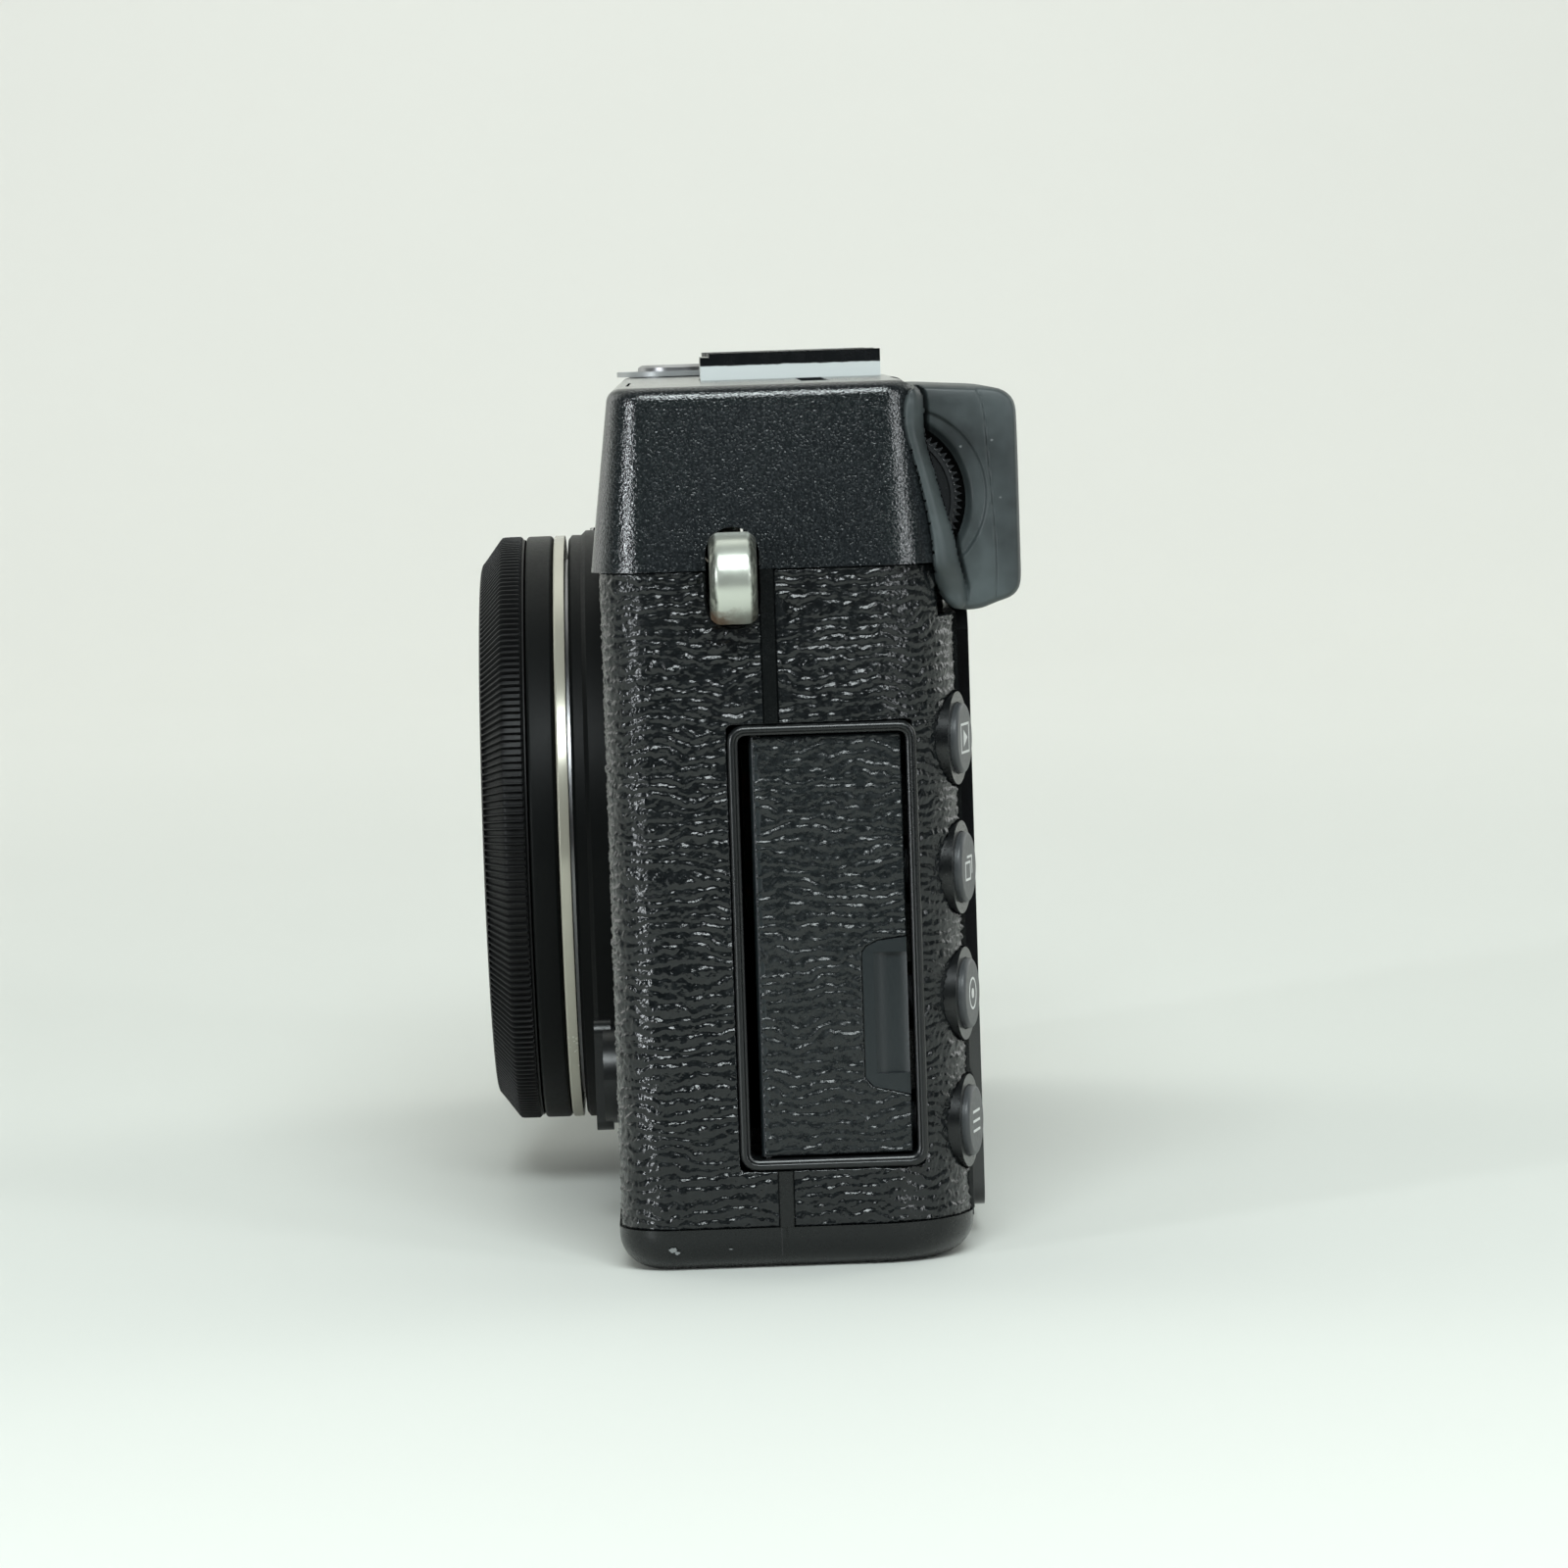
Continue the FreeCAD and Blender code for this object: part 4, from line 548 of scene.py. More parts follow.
def skin(name, path, z0, z1, zstep, body, key, holes=(), depth=0.34, thick=0.5, seed=5, s_shift=0.0, end_round=0.12, fade=None):
    """A sheet of grained skin in mm. Holes are signed distance functions of (s, z), negative inside."""
    P, S, NN = np.array(path.p), np.array(path.s), np.array(path.n)
    Z = np.linspace(z0, z1, int(round((z1 - z0) / zstep)) + 1)
    s, z = np.meshgrid(S, Z, indexing="ij")
    ns, nz = s.shape
    hole = np.full(s.shape, 99.0)
    for h in holes:
        hole = np.minimum(hole, h(s, z))
    mid = (hole[:-1, :-1] + hole[1:, :-1] + hole[:-1, 1:] + hole[1:, 1:]) / 4
    keep = mid > 0
    used = np.zeros(s.shape, bool)
    for a in (0, 1):
        for b in (0, 1):
            used[a:ns - 1 + a, b:nz - 1 + b] |= keep
    gone = np.zeros(s.shape, bool)
    for a in (0, 1):
        for b in (0, 1):
            gone[a:ns - 1 + a, b:nz - 1 + b] |= ~keep
    rim = used & gone

    def field(ss, zz):
        f = np.full(ss.shape, 99.0)
        for h in holes:
            f = np.minimum(f, h(ss, zz))
        return f

    sn, zn = s.copy(), z.copy()
    if holes:
        for _ in range(3):
            f = field(sn, zn)
            e = 1e-3
            gs = (field(sn + e, zn) - field(sn - e, zn)) / (2 * e)
            gz = (field(sn, zn + e) - field(sn, zn - e)) / (2 * e)
            g2 = np.maximum(gs * gs + gz * gz, 1e-6)
            sn = np.where(rim, sn - f * gs / g2, sn)
            zn = np.where(rim, zn - f * gz / g2, zn)
        sn, zn = np.clip(sn, S[0], S[-1]), np.clip(zn, z0, z1)
    h = grain(sn + s_shift, zn, seed)
    edge = np.minimum(np.minimum(zn - z0, z1 - zn), np.minimum(sn - S[0], S[-1] - sn))
    edge = np.minimum(edge, field(sn, zn)) if holes else edge
    edge = np.maximum(edge, 0)
    lift = depth * (1 - h)
    if fade is not None:
        lift = lift * fade(sn, zn)
    rnd = np.where(edge < end_round, end_round - np.sqrt(np.maximum(end_round ** 2 - (end_round - edge) ** 2, 0)), 0)
    inward = np.maximum(lift, rnd)

    px = np.interp(sn, S, P[:, 0])
    py = np.interp(sn, S, P[:, 1])
    nx = np.interp(sn, S, NN[:, 0])
    ny = np.interp(sn, S, NN[:, 1])
    nl = np.hypot(nx, ny)
    nx, ny = nx / nl, ny / nl
    index = -np.ones(s.shape, int)
    index[used] = np.arange(used.sum())
    X = (px - nx * inward)[used]
    Y = (py - ny * inward)[used]
    V0 = np.stack([X, Y, zn[used]], 1)
    a, b = index[:-1, :-1][keep], index[1:, :-1][keep]
    c, d = index[1:, 1:][keep], index[:-1, 1:][keep]
    quads = np.stack([d, c, b, a], 1)
    # walls along every open edge
    ed = np.concatenate([quads[:, [0, 1]], quads[:, [1, 2]], quads[:, [2, 3]], quads[:, [3, 0]]])
    key_ = np.sort(ed, 1)
    k1 = key_[:, 0].astype(np.int64) * (used.sum() + 1) + key_[:, 1]
    u, first, count = np.unique(k1, return_index=True, return_counts=True)
    open_e = ed[first[count == 1]]
    rimv = np.unique(open_e)
    back = {int(v): len(V0) + i for i, v in enumerate(rimv)}
    B = np.stack([(px - nx * thick)[used][rimv], (py - ny * thick)[used][rimv], zn[used][rimv]], 1)
    walls = [(int(e[1]), int(e[0]), back[int(e[0])], back[int(e[1])]) for e in open_e]
    return mesh_piece(name, np.concatenate([V0, B]), [tuple(map(int, q)) for q in quads] + walls, body, key, smooth_all=True)


def mesh_piece(name, verts_mm, faces, body, key, smooth_all=False, sharp_angle=None):
    me = bpy.data.meshes.new(name)
    me.from_pydata([tuple(v) for v in (np.asarray(verts_mm, float) * MM)], [], faces)
    me.validate()
    me.update()
    if smooth_all or sharp_angle:
        for p in me.polygons:
            p.use_smooth = True
    if sharp_angle:
        bm = bmesh.new()
        bm.from_mesh(me)
        for e in bm.edges:
            if len(e.link_faces) == 2 and e.calc_face_angle(0) > math.radians(sharp_angle):
                e.smooth = False
        bm.to_mesh(me)
        bm.free()
    ob = bpy.data.objects.new(name, me)
    scene.collection.objects.link(ob)
    me.materials.append(M[key])
    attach(ob, body)
    return ob


# ------------------------------------------------------------------ skins on the body
FRONT, REAR, HW = -11.7, 17.75, 64.5
LZ = 31.9
Z0, Z1 = 3.55, 57.45
FINE = 0.135
COARSE = 0.30


def build_front_skin():
    p = Path((HW, 1.5))
    p.line((HW, -7.2), FINE).arc((60.0, -7.2), -90, FINE)
    f, g = FRONT, 2.95
    p.line((-42.9, f), COARSE)
    p.line((-44.9, f - 0.7), FINE).line((-46.6, f - 1.7), FINE).line((-48.6, f - 2.25), FINE).line((-50.6, f - g + 0.60), FINE)
    p.line((-56.6, f - g + 0.60), FINE).line((-58.6, f - 2.1), FINE).line((-60.2, f - 1.5), FINE).line((-61.6, f - 0.2), FINE)
    p.arc((-60.0, -7.2), 180, COARSE).line((-HW, 1.5), COARSE)
    P, S = np.array(p.p), np.array(p.s)

    def at_x(x):
        k = np.argmin(np.abs(P[:, 0] - x) + 100 * (P[:, 1] > -11.0))
        return S[k] + (P[k, 0] - x)

    c = at_x(0.0)
    holes = [lambda s, z: sd_capsule(s, z, 1.5 + 0.62, 56.9, 1.9, 2.3),
             lambda s, z: sd_box(s, z, -1.0, 3.12, 8.12, 44.88, 0.5),
             lambda s, z: sd_circle(s, z, c, LZ, 27.3),
             lambda s, z: sd_circle(s, z, at_x(38.0), 13.4, 4.6),
             lambda s, z: sd_circle(s, z, at_x(-33.0), 14.5, 4.1),
             lambda s, z: sd_circle(s, z, at_x(-33.5), 51.0, 3.4),
             lambda s, z: sd_capsule(s, z, S[-1] - 2.12, 56.9, 1.9, 2.3)]
    ob = skin("front_leather_skin", p, Z0, Z1, FINE * 1.05, "camera_body", "leather", holes, seed=5)
    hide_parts("front_leatherette")


def build_rear_skins():
    p = Path((57.6, REAR))
    # runs the other way round, so that the outside stays on the left
    p = Path((57.55, 17.68)).arc((56.5, 9.75), 0, FINE).line((HW, 2.72), FINE)
    S, P = np.array(p.s), np.array(p.p)
    end = S[-1]

    def column(z):
        return lambda s, zz: sd_circle(s, zz, column_s, z, 4.0)

    # where the buttons' own line leaves the rounded corner
    column_s = S[np.argmin(np.hypot(P[:, 0] - 58.2, P[:, 1] - 17.57))]
    holes = [lambda s, z: sd_capsule(s, z, end + 2.72 + 0.62, 56.9, 1.9, 2.3),
             lambda s, z: sd_box(s, z, end + 2.72 - 13.98, end + 9.0, 8.12, 44.88, 0.5),
             lambda s, z: sd_box(s, z, -9.0, np.interp(16.1, P[::-1, 1], S[::-1]), 53.1, 70.0)] + [column(z) for z in (42.8, 32.1, 21.6, 11.0)]
    ob = skin("rear_leather_skin_left", p, Z0, Z1, FINE * 1.05, "camera_body", "leather", holes, seed=5, s_shift=200.0)
    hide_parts("rear_leatherette_left")


def build_door_skin():
    p = Path((63.75, 12.6)).line((63.75, 0.5), FINE)
    grip = [(12.6 - y, z) for y, z in ((8.92, 15.6), (9.55, 14.75), (13.6, 13.8), (13.6, 27.2), (10.3, 26.8), (9.3, 26.35), (8.92, 25.8))]
    holes = [lambda s, z: sd_poly(s, z, grip, 0.05)]
    ob = skin("door_leather_skin", p, 9.3, 43.7, FINE, "terminal_door", "leather_dull", holes, depth=0.30, thick=0.5, seed=5, s_shift=300.0)
    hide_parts("terminal_door_leatherette")


build_front_skin()
build_rear_skins()
build_door_skin()


# ------------------------------------------------------------------ turned lens parts
def lathe(name, prof, n, body, key, radial=None, axis=(0.0, LZ), sharp=28, close=False):
    """Ring of revolution round the optical axis; prof is (r, y) in mm; radial(r, y, a) bends r."""
    ang = 2 * math.pi * np.arange(n) / n
    V = []
    for i, (r, y) in enumerate(prof):
        rr = np.full(n, float(r))
        if radial is not None:
            rr = radial(i, rr, y, ang)
        V.append(np.stack([axis[0] + rr * np.cos(ang), np.full(n, float(y)), axis[1] + rr * np.sin(ang)], 1))
    V = np.concatenate(V)
    m = len(prof)
    faces = []
    for i in range(m - 1 if not close else m):
        j = (i + 1) % m
        for k in range(n):
            l = (k + 1) % n
            faces.append((i * n + k, i * n + l, j * n + l, j * n + k))
    return mesh_piece(name, V, faces, body, key, smooth_all=True, sharp_angle=sharp)


def soft(points, r=0.12, n=3):
    """Round the corners of an (r, y) profile a little."""
    out = []
    for i, p in enumerate(points):
        p = np.array(p, float)
        if i in (0, len(points) - 1):
            out.append(tuple(p))
            continue
        a, b = np.array(points[i - 1], float), np.array(points[i + 1], float)
        da, db = a - p, b - p
        la, lb = np.linalg.norm(da), np.linalg.norm(db)
        if abs(np.cross(da / la, db / lb)) < 0.08:
            out.append(tuple(p))
            continue
        k = min(r, la * 0.45, lb * 0.45)
        p0, p1 = p + da / la * k, p + db / lb * k
        for t in np.linspace(0, 1, n + 1):
            out.append(tuple((1 - t) ** 2 * p0 + 2 * t * (1 - t) * p + t * t * p1))
    return out


def build_focus_ring():
    ribs = 252
    sub = 6
    prof = soft([(18.7, -20.2), (18.7, -22.7), (19.6, -23.13), (23.85, -23.13), (24.25, -23.0)], 0.15) + \
        [(24.5, -22.80), (24.9, -22.49), (25.5, -22.04), (26.1, -21.6), (26.5, -21.3), (26.68, -21.12), (26.73, -20.9), (26.74, -20.4), (26.74, -19.9), (26.74, -19.45)] + \
        soft([(26.6, -19.3), (26.45, -19.2), (26.45, -19.02), (25.2, -18.99)], 0.06)
    n = ribs * sub
    cut = {}
    for i, (r, y) in enumerate(prof):
        if -22.85 < y < -19.42 and r > 24.3:
            cut[i] = 0.42 if y < -21.0 else 0.38

    def radial(i, rr, y, ang):
        ph = (np.arange(len(ang)) % sub) / sub
        w = np.where((ph > 0.30) & (ph < 0.85), 1.0, 0.0)
        return rr - cut.get(i, 0.0) * w

    ob = lathe("focus_ring_ribbed", prof, n, "focus_ring", "knurl", radial, sharp=24)
    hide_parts("focus_ring")


def build_lens_rings():
    ob = lathe("lens_barrel_turned", soft([(17.5, -19.4), (17.5, -21.6), (18.6, -21.6), (18.6, -19.0), (26.55, -18.88), (26.72, -18.7), (26.73, -16.7), (26.55, -16.49), (16.3, -16.49)], 0.1), 256, "camera_body", "lens")
    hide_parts("lens_barrel")
    ob = lathe("lens_flange_turned", soft([(19.3, -11.4), (20.55, -11.4), (20.55, -13.5), (21.55, -13.5), (21.55, -15.39), (26.70, -15.39), (26.73, -15.43), (26.73, -16.24), (26.60, -16.38), (17.5, -16.38)], 0.03), 256, "camera_body", "flange")
    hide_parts("lens_mount_plate")


build_focus_ring()
build_lens_rings()


# ------------------------------------------------------------------ printed marks
def stroke(a, b, w):
    a, b = np.array(a, float), np.array(b, float)
    t = (b - a) / np.linalg.norm(b - a)
    n = np.array((-t[1], t[0])) * w / 2
    e = t * w * 0.3
    return [tuple(a - e - n), tuple(b + e - n), tuple(b + e + n), tuple(a - e + n)]


def ring_strokes(c, r, w, n=28, a0=0.0, a1=360.0):
    out = []
    for i in range(n):
        a, b = math.radians(a0 + (a1 - a0) * i / n), math.radians(a0 + (a1 - a0) * (i + 1) / n)
        out.append([(c[0] + (r - w / 2) * math.cos(a), c[1] + (r - w / 2) * math.sin(a)), (c[0] + (r + w / 2) * math.cos(a), c[1] + (r + w / 2) * math.sin(a)),
                    (c[0] + (r + w / 2) * math.cos(b), c[1] + (r + w / 2) * math.sin(b)), (c[0] + (r - w / 2) * math.cos(b), c[1] + (r - w / 2) * math.sin(b))])
    return out


def disc(c, r, n=24):
    return [[(c[0] + r * math.cos(2 * math.pi * i / n), c[1] + r * math.sin(2 * math.pi * i / n)) for i in range(n)]]


def box_strokes(x0, x1, y0, y1, w):
    return [stroke((x0, y0), (x1, y0), w), stroke((x1, y0), (x1, y1), w), stroke((x1, y1), (x0, y1), w), stroke((x0, y1), (x0, y0), w)]


def decal(name, body, origin, right, up, polys, key="mark", lift=0.012):
    """Flat marks on a surface: polys are 2D outlines in mm about origin, seen from outside."""
    o, u, v = np.array(origin, float), np.array(right, float), np.array(up, float)
    n = np.cross(u, v)
    V, F = [], []
    for poly in polys:
        base = len(V)
        k = len(poly)
        for q in (lift, 0.0):
            for x, y in poly:
                V.append(o + u * x + v * y + n * q)
        F.append(tuple(range(base, base + k)))
        for i in range(k):
            j = (i + 1) % k
            F.append((base + j, base + i, base + k + i, base + k + j))
    return mesh_piece(name, V, F, body, key)


def text_polys(word, size, at=(0.0, 0.0), turn=0.0):
    """Triangles of a short plain text, centred at a point, as 2D outlines in mm."""
    cu = bpy.data.curves.new("t", "FONT")
    cu.body = word
    cu.size = size
    cu.align_x, cu.align_y = "CENTER", "CENTER"
    cu.resolution_u = 3
    ob = bpy.data.objects.new("t", cu)
    scene.collection.objects.link(ob)
    dg = bpy.context.evaluated_depsgraph_get()
    me = bpy.data.meshes.new_from_object(ob.evaluated_get(dg))
    c, s = math.cos(turn), math.sin(turn)
    out = []
    for p in me.polygons:
        pts = [me.vertices[i].co for i in p.vertices]
        q = [(at[0] + c * a.x - s * a.y, at[1] + s * a.x + c * a.y) for a in pts]
        if sum(q[i][0] * q[(i + 1) % len(q)][1] - q[(i + 1) % len(q)][0] * q[i][1] for i in range(len(q))) < 0:
            q = q[::-1]
        out.append(q)
    scene.collection.objects.unlink(ob)
    bpy.data.objects.remove(ob)
    bpy.data.curves.remove(cu)
    bpy.data.meshes.remove(me)
    return out


CT, ST = math.cos(math.radians(15)), math.sin(math.radians(15))


def column_mark(name, body, z, polys):
    o = (58.0 + ST * 1.4, 16.8 + CT * 1.4, z)
    decal(name, body, o, (-CT, ST, 0), (0, 0, 1), polys)


column_mark("mark_play", "playback_button", 42.8, box_strokes(-1.45, 1.45, -1.15, 1.15, 0.20) + [[(-0.55, -0.7), (0.85, 0.0), (-0.55, 0.7)]])
column_mark("mark_frames", "drive_button", 32.1, box_strokes(-1.3, 0.5, -1.0, 0.4, 0.20) + [stroke((-0.6, 0.85), (1.1, 0.85), 0.2), stroke((1.1, 0.85), (1.1, -0.55), 0.2)])
column_mark("mark_meter", "metering_button", 21.6, ring_strokes((0, 0), 1.25, 0.20) + disc((0, 0), 0.42))
column_mark("mark_bars", "function_button", 11.0, [stroke((-1.2, k), (1.2, k), 0.22) for k in (-0.8, 0.0, 0.8)])


def rear_mark(name, body, x, z, y, polys):
    decal(name, body, (x, y, z), (-1, 0, 0), (0, 0, 1), polys)


RF = 17.75
rear_mark("mark_ok", "ok_button", -36.5, 25.5, RF + 1.25, text_polys("1", 3.0))
for n, dx, dz, turn in (("pad_up", 0, 8.6, 0), ("pad_down", 0, -8.6, 180), ("pad_left", 8.6, 0, 90), ("pad_right", -8.6, 0, -90)):
    a = math.radians(turn)
    tri = [(-0.75, -0.45), (0.75, -0.45), (0.0, 0.75)]
    tri = [(x * math.cos(a) - y * math.sin(a), x * math.sin(a) + y * math.cos(a)) for x, y in tri]
    rear_mark("mark_" + n, n, -36.5 + dx, 25.5 + dz, RF + (1.25 if n == "pad_right" else 1.0), [tri])
rear_mark("mark_disp", "disp_button", -31.5, 9.5, RF + 1.0, box_strokes(-1.1, 1.1, -0.8, 0.8, 0.2))
rear_mark("mark_menu", "q_button", -57.5, 45.5, RF + 1.25, ring_strokes((0, 0), 1.1, 0.2) + [stroke((0, 0), (0, 0.8), 0.2)])


def dial_marks():
    polys = []
    steps = ["1", "2", "4", "8", "15", "30", "60", "125", "250", "500", "1000", "2000"]
    for i, w in enumerate(steps):
        a = math.pi / 2 - 2 * math.pi * i / len(steps)
        polys += text_polys(w, 1.55 if len(w) < 4 else 1.25, (5.9 * math.cos(a), 5.9 * math.sin(a)), a - math.pi / 2)
    decal("marks_speed_dial", "shutter_speed_dial", (-32.5, 5.7, 74.85), (-1, 0, 0), (0, -1, 0), polys)
    polys = []
    for i, w in enumerate(["-2", "-1", "0", "+1", "+2"]):
        a = math.pi / 2 + math.radians(104 - 52 * i)
        polys += text_polys(w, 1.8, (5.0 * math.cos(a), 5.0 * math.sin(a)), a - math.pi / 2)
    for i in range(13):
        a = math.pi / 2 + math.radians(104 - 208 * i / 12)
        polys += [stroke((6.15 * math.cos(a), 6.15 * math.sin(a)), (6.5 * math.cos(a), 6.5 * math.sin(a)), 0.14)]
    decal("marks_exposure_dial", "exposure_dial", (-54.3, 6.6, 74.75), (-1, 0, 0), (0, -1, 0), polys)
    tick = [stroke((0.0, 0.0), (0.0, 1.3), 0.28)]
    decal("mark_index", "camera_body", (-43.0, 5.9, 72.5), (-1, 0, 0), (0, -1, 0), [stroke((-0.6, 0.0), (0.6, 0.0), 0.3)])
    decal("mark_power", "power_lever", (-54.0, -5.0, 73.25), (-1, 0, 0), (0, -1, 0), [stroke((-0.5, 0.0), (0.7, 0.0), 0.3)])


dial_marks()


def blob(cx, cz, rx, rz, seed, n=14):
    rng = np.random.RandomState(seed)
    return [(cx + rx * (0.72 + 0.5 * rng.rand()) * math.cos(2 * math.pi * i / n), cz + rz * (0.72 + 0.5 * rng.rand()) * math.sin(2 * math.pi * i / n)) for i in range(n)]


# worn spots on the base band
decal("paint_chips", "camera_body", (64.5, 0, 0), (0, 1, 0), (0, 0, 1),
      [blob(-7.35, 1.92, 0.34, 0.22, 3), blob(-7.02, 1.68, 0.22, 0.14, 4), blob(-2.6, 1.86, 0.16, 0.04, 6)], key="chip", lift=0.006)
decal("base_seam", "camera_body", (64.5, 0, 0), (0, 1, 0), (0, 0, 1), [[(1.57, 1.15), (1.67, 1.15), (1.67, 3.50), (1.57, 3.50)]], key="dark", lift=0.006)


# ------------------------------------------------------------------ eyecup and its wheel
def patch(name, u0, u1, v0, v1, step, keep, to3d, back3d, body, key, flip=False, sharp=None, snap=4):
    """Fine sheet over (u, v), cut where keep(u, v) is negative, edges drawn back by back3d."""
    U = np.linspace(u0, u1, int(round((u1 - u0) / step)) + 1)
    W = np.linspace(v0, v1, int(round((v1 - v0) / step)) + 1)
    u, v = np.meshgrid(U, W, indexing="ij")
    f = keep(u, v)
    mid = (f[:-1, :-1] + f[1:, :-1] + f[:-1, 1:] + f[1:, 1:]) / 4 > 0
    used = np.zeros(u.shape, bool)
    gone = np.zeros(u.shape, bool)
    for a in (0, 1):
        for b in (0, 1):
            used[a:len(U) - 1 + a, b:len(W) - 1 + b] |= mid
            gone[a:len(U) - 1 + a, b:len(W) - 1 + b] |= ~mid
    rim = used & gone
    un, vn = u.copy(), v.copy()
    for _ in range(snap):
        f = keep(un, vn)
        e = 1e-3
        gu = (keep(un + e, vn) - keep(un - e, vn)) / (2 * e)
        gv = (keep(un, vn + e) - keep(un, vn - e)) / (2 * e)
        g2 = np.maximum(gu * gu + gv * gv, 0.2)
        un = np.where(rim, un - np.clip(f * gu / g2, -step, step), un)
        vn = np.where(rim, vn - np.clip(f * gv / g2, -step, step), vn)
    idx = -np.ones(u.shape, int)
    idx[used] = np.arange(used.sum())
    V0 = to3d(un[used], vn[used])
    q = np.stack([idx[:-1, :-1][mid], idx[1:, :-1][mid], idx[1:, 1:][mid], idx[:-1, 1:][mid]], 1)
    if flip:
        q = q[:, ::-1]
    ed = np.concatenate([q[:, [0, 1]], q[:, [1, 2]], q[:, [2, 3]], q[:, [3, 0]]])
    ks = np.sort(ed, 1)
    code = ks[:, 0].astype(np.int64) * (len(V0) + 1) + ks[:, 1]
    _, first, count = np.unique(code, return_index=True, return_counts=True)
    oe = ed[first[count == 1]]
    rv = np.unique(oe)
    V1 = back3d(un[used][rv], vn[used][rv], V0[rv])
    pos = {int(x): len(V0) + i for i, x in enumerate(rv)}
    walls = [(int(e[1]), int(e[0]), pos[int(e[0])], pos[int(e[1])]) for e in oe]
    return mesh_piece(name, np.concatenate([V0, V1]), [tuple(map(int, x)) for x in q] + walls, body, key, smooth_all=True, sharp_angle=sharp)


def dense(pts, closed=True, step=0.35, rounds=2):
    """Chaikin-smoothed and evenly resampled outline."""
    p = np.array(pts, float)
    for _ in range(rounds):
        nxt = np.roll(p, -1, 0) if closed else p[1:]
        cur = p if closed else p[:-1]
        a, b = cur * 0.75 + nxt * 0.25, cur * 0.25 + nxt * 0.75
        q = np.empty((2 * len(a), 2))
        q[0::2], q[1::2] = a, b
        p = q if closed else np.concatenate([p[:1], q, p[-1:]])
    pp = np.concatenate([p, p[:1]]) if closed else p
    L = np.concatenate([[0], np.cumsum(np.linalg.norm(np.diff(pp, axis=0), axis=1))])
    n = max(8, int(L[-1] / step))
    t = np.linspace(0, L[-1], n, endpoint=not closed)
    return np.stack([np.interp(t, L, pp[:, 0]), np.interp(t, L, pp[:, 1])], 1)


def sd_line(u, v, pts):
    d = np.full(u.shape, 1e9)
    for a, b in zip(pts[:-1], pts[1:]):
        ex, ez = b[0] - a[0], b[1] - a[1]
        t = np.clip(((u - a[0]) * ex + (v - a[1]) * ez) / (ex * ex + ez * ez), 0, 1)
        d = np.minimum(d, np.hypot(u - a[0] - ex * t, v - a[1] - ez * t))
    return d


FLAP_L = [(14.52, 72.05), (13.85, 70.99), (13.68, 69.23), (13.9, 67.86), (14.34, 66.33), (15.12, 63.09), (15.74, 59.7), (15.78, 57.45), (16.05, 55.36), (16.85, 54.04), (17.7, 53.44)]
FLAP_R = [(18.45, 53.7), (18.64, 54.46), (18.43, 55.6), (17.86, 58.03), (17.67, 59.64), (17.23, 61.1), (16.51, 63.85), (15.79, 66.6), (15.44, 68.21), (15.52, 70.4), (15.3, 71.6)]
SIL = FLAP_L + [(19.62, 53.42), (21.09, 54.02), (22.4, 54.4), (23.1, 55.3), (23.12, 57.5), (23.12, 69.0), (23.0, 70.5), (22.2, 71.35), (21.0, 71.7), (18.0, 71.88), (15.6, 72.05)]
PART = [(19.64, 71.9), (20.4, 70.45), (20.6, 66.44), (20.83, 63.23), (21.11, 59.2), (21.07, 55.19), (20.88, 53.7)]
CUP_X = 61.0


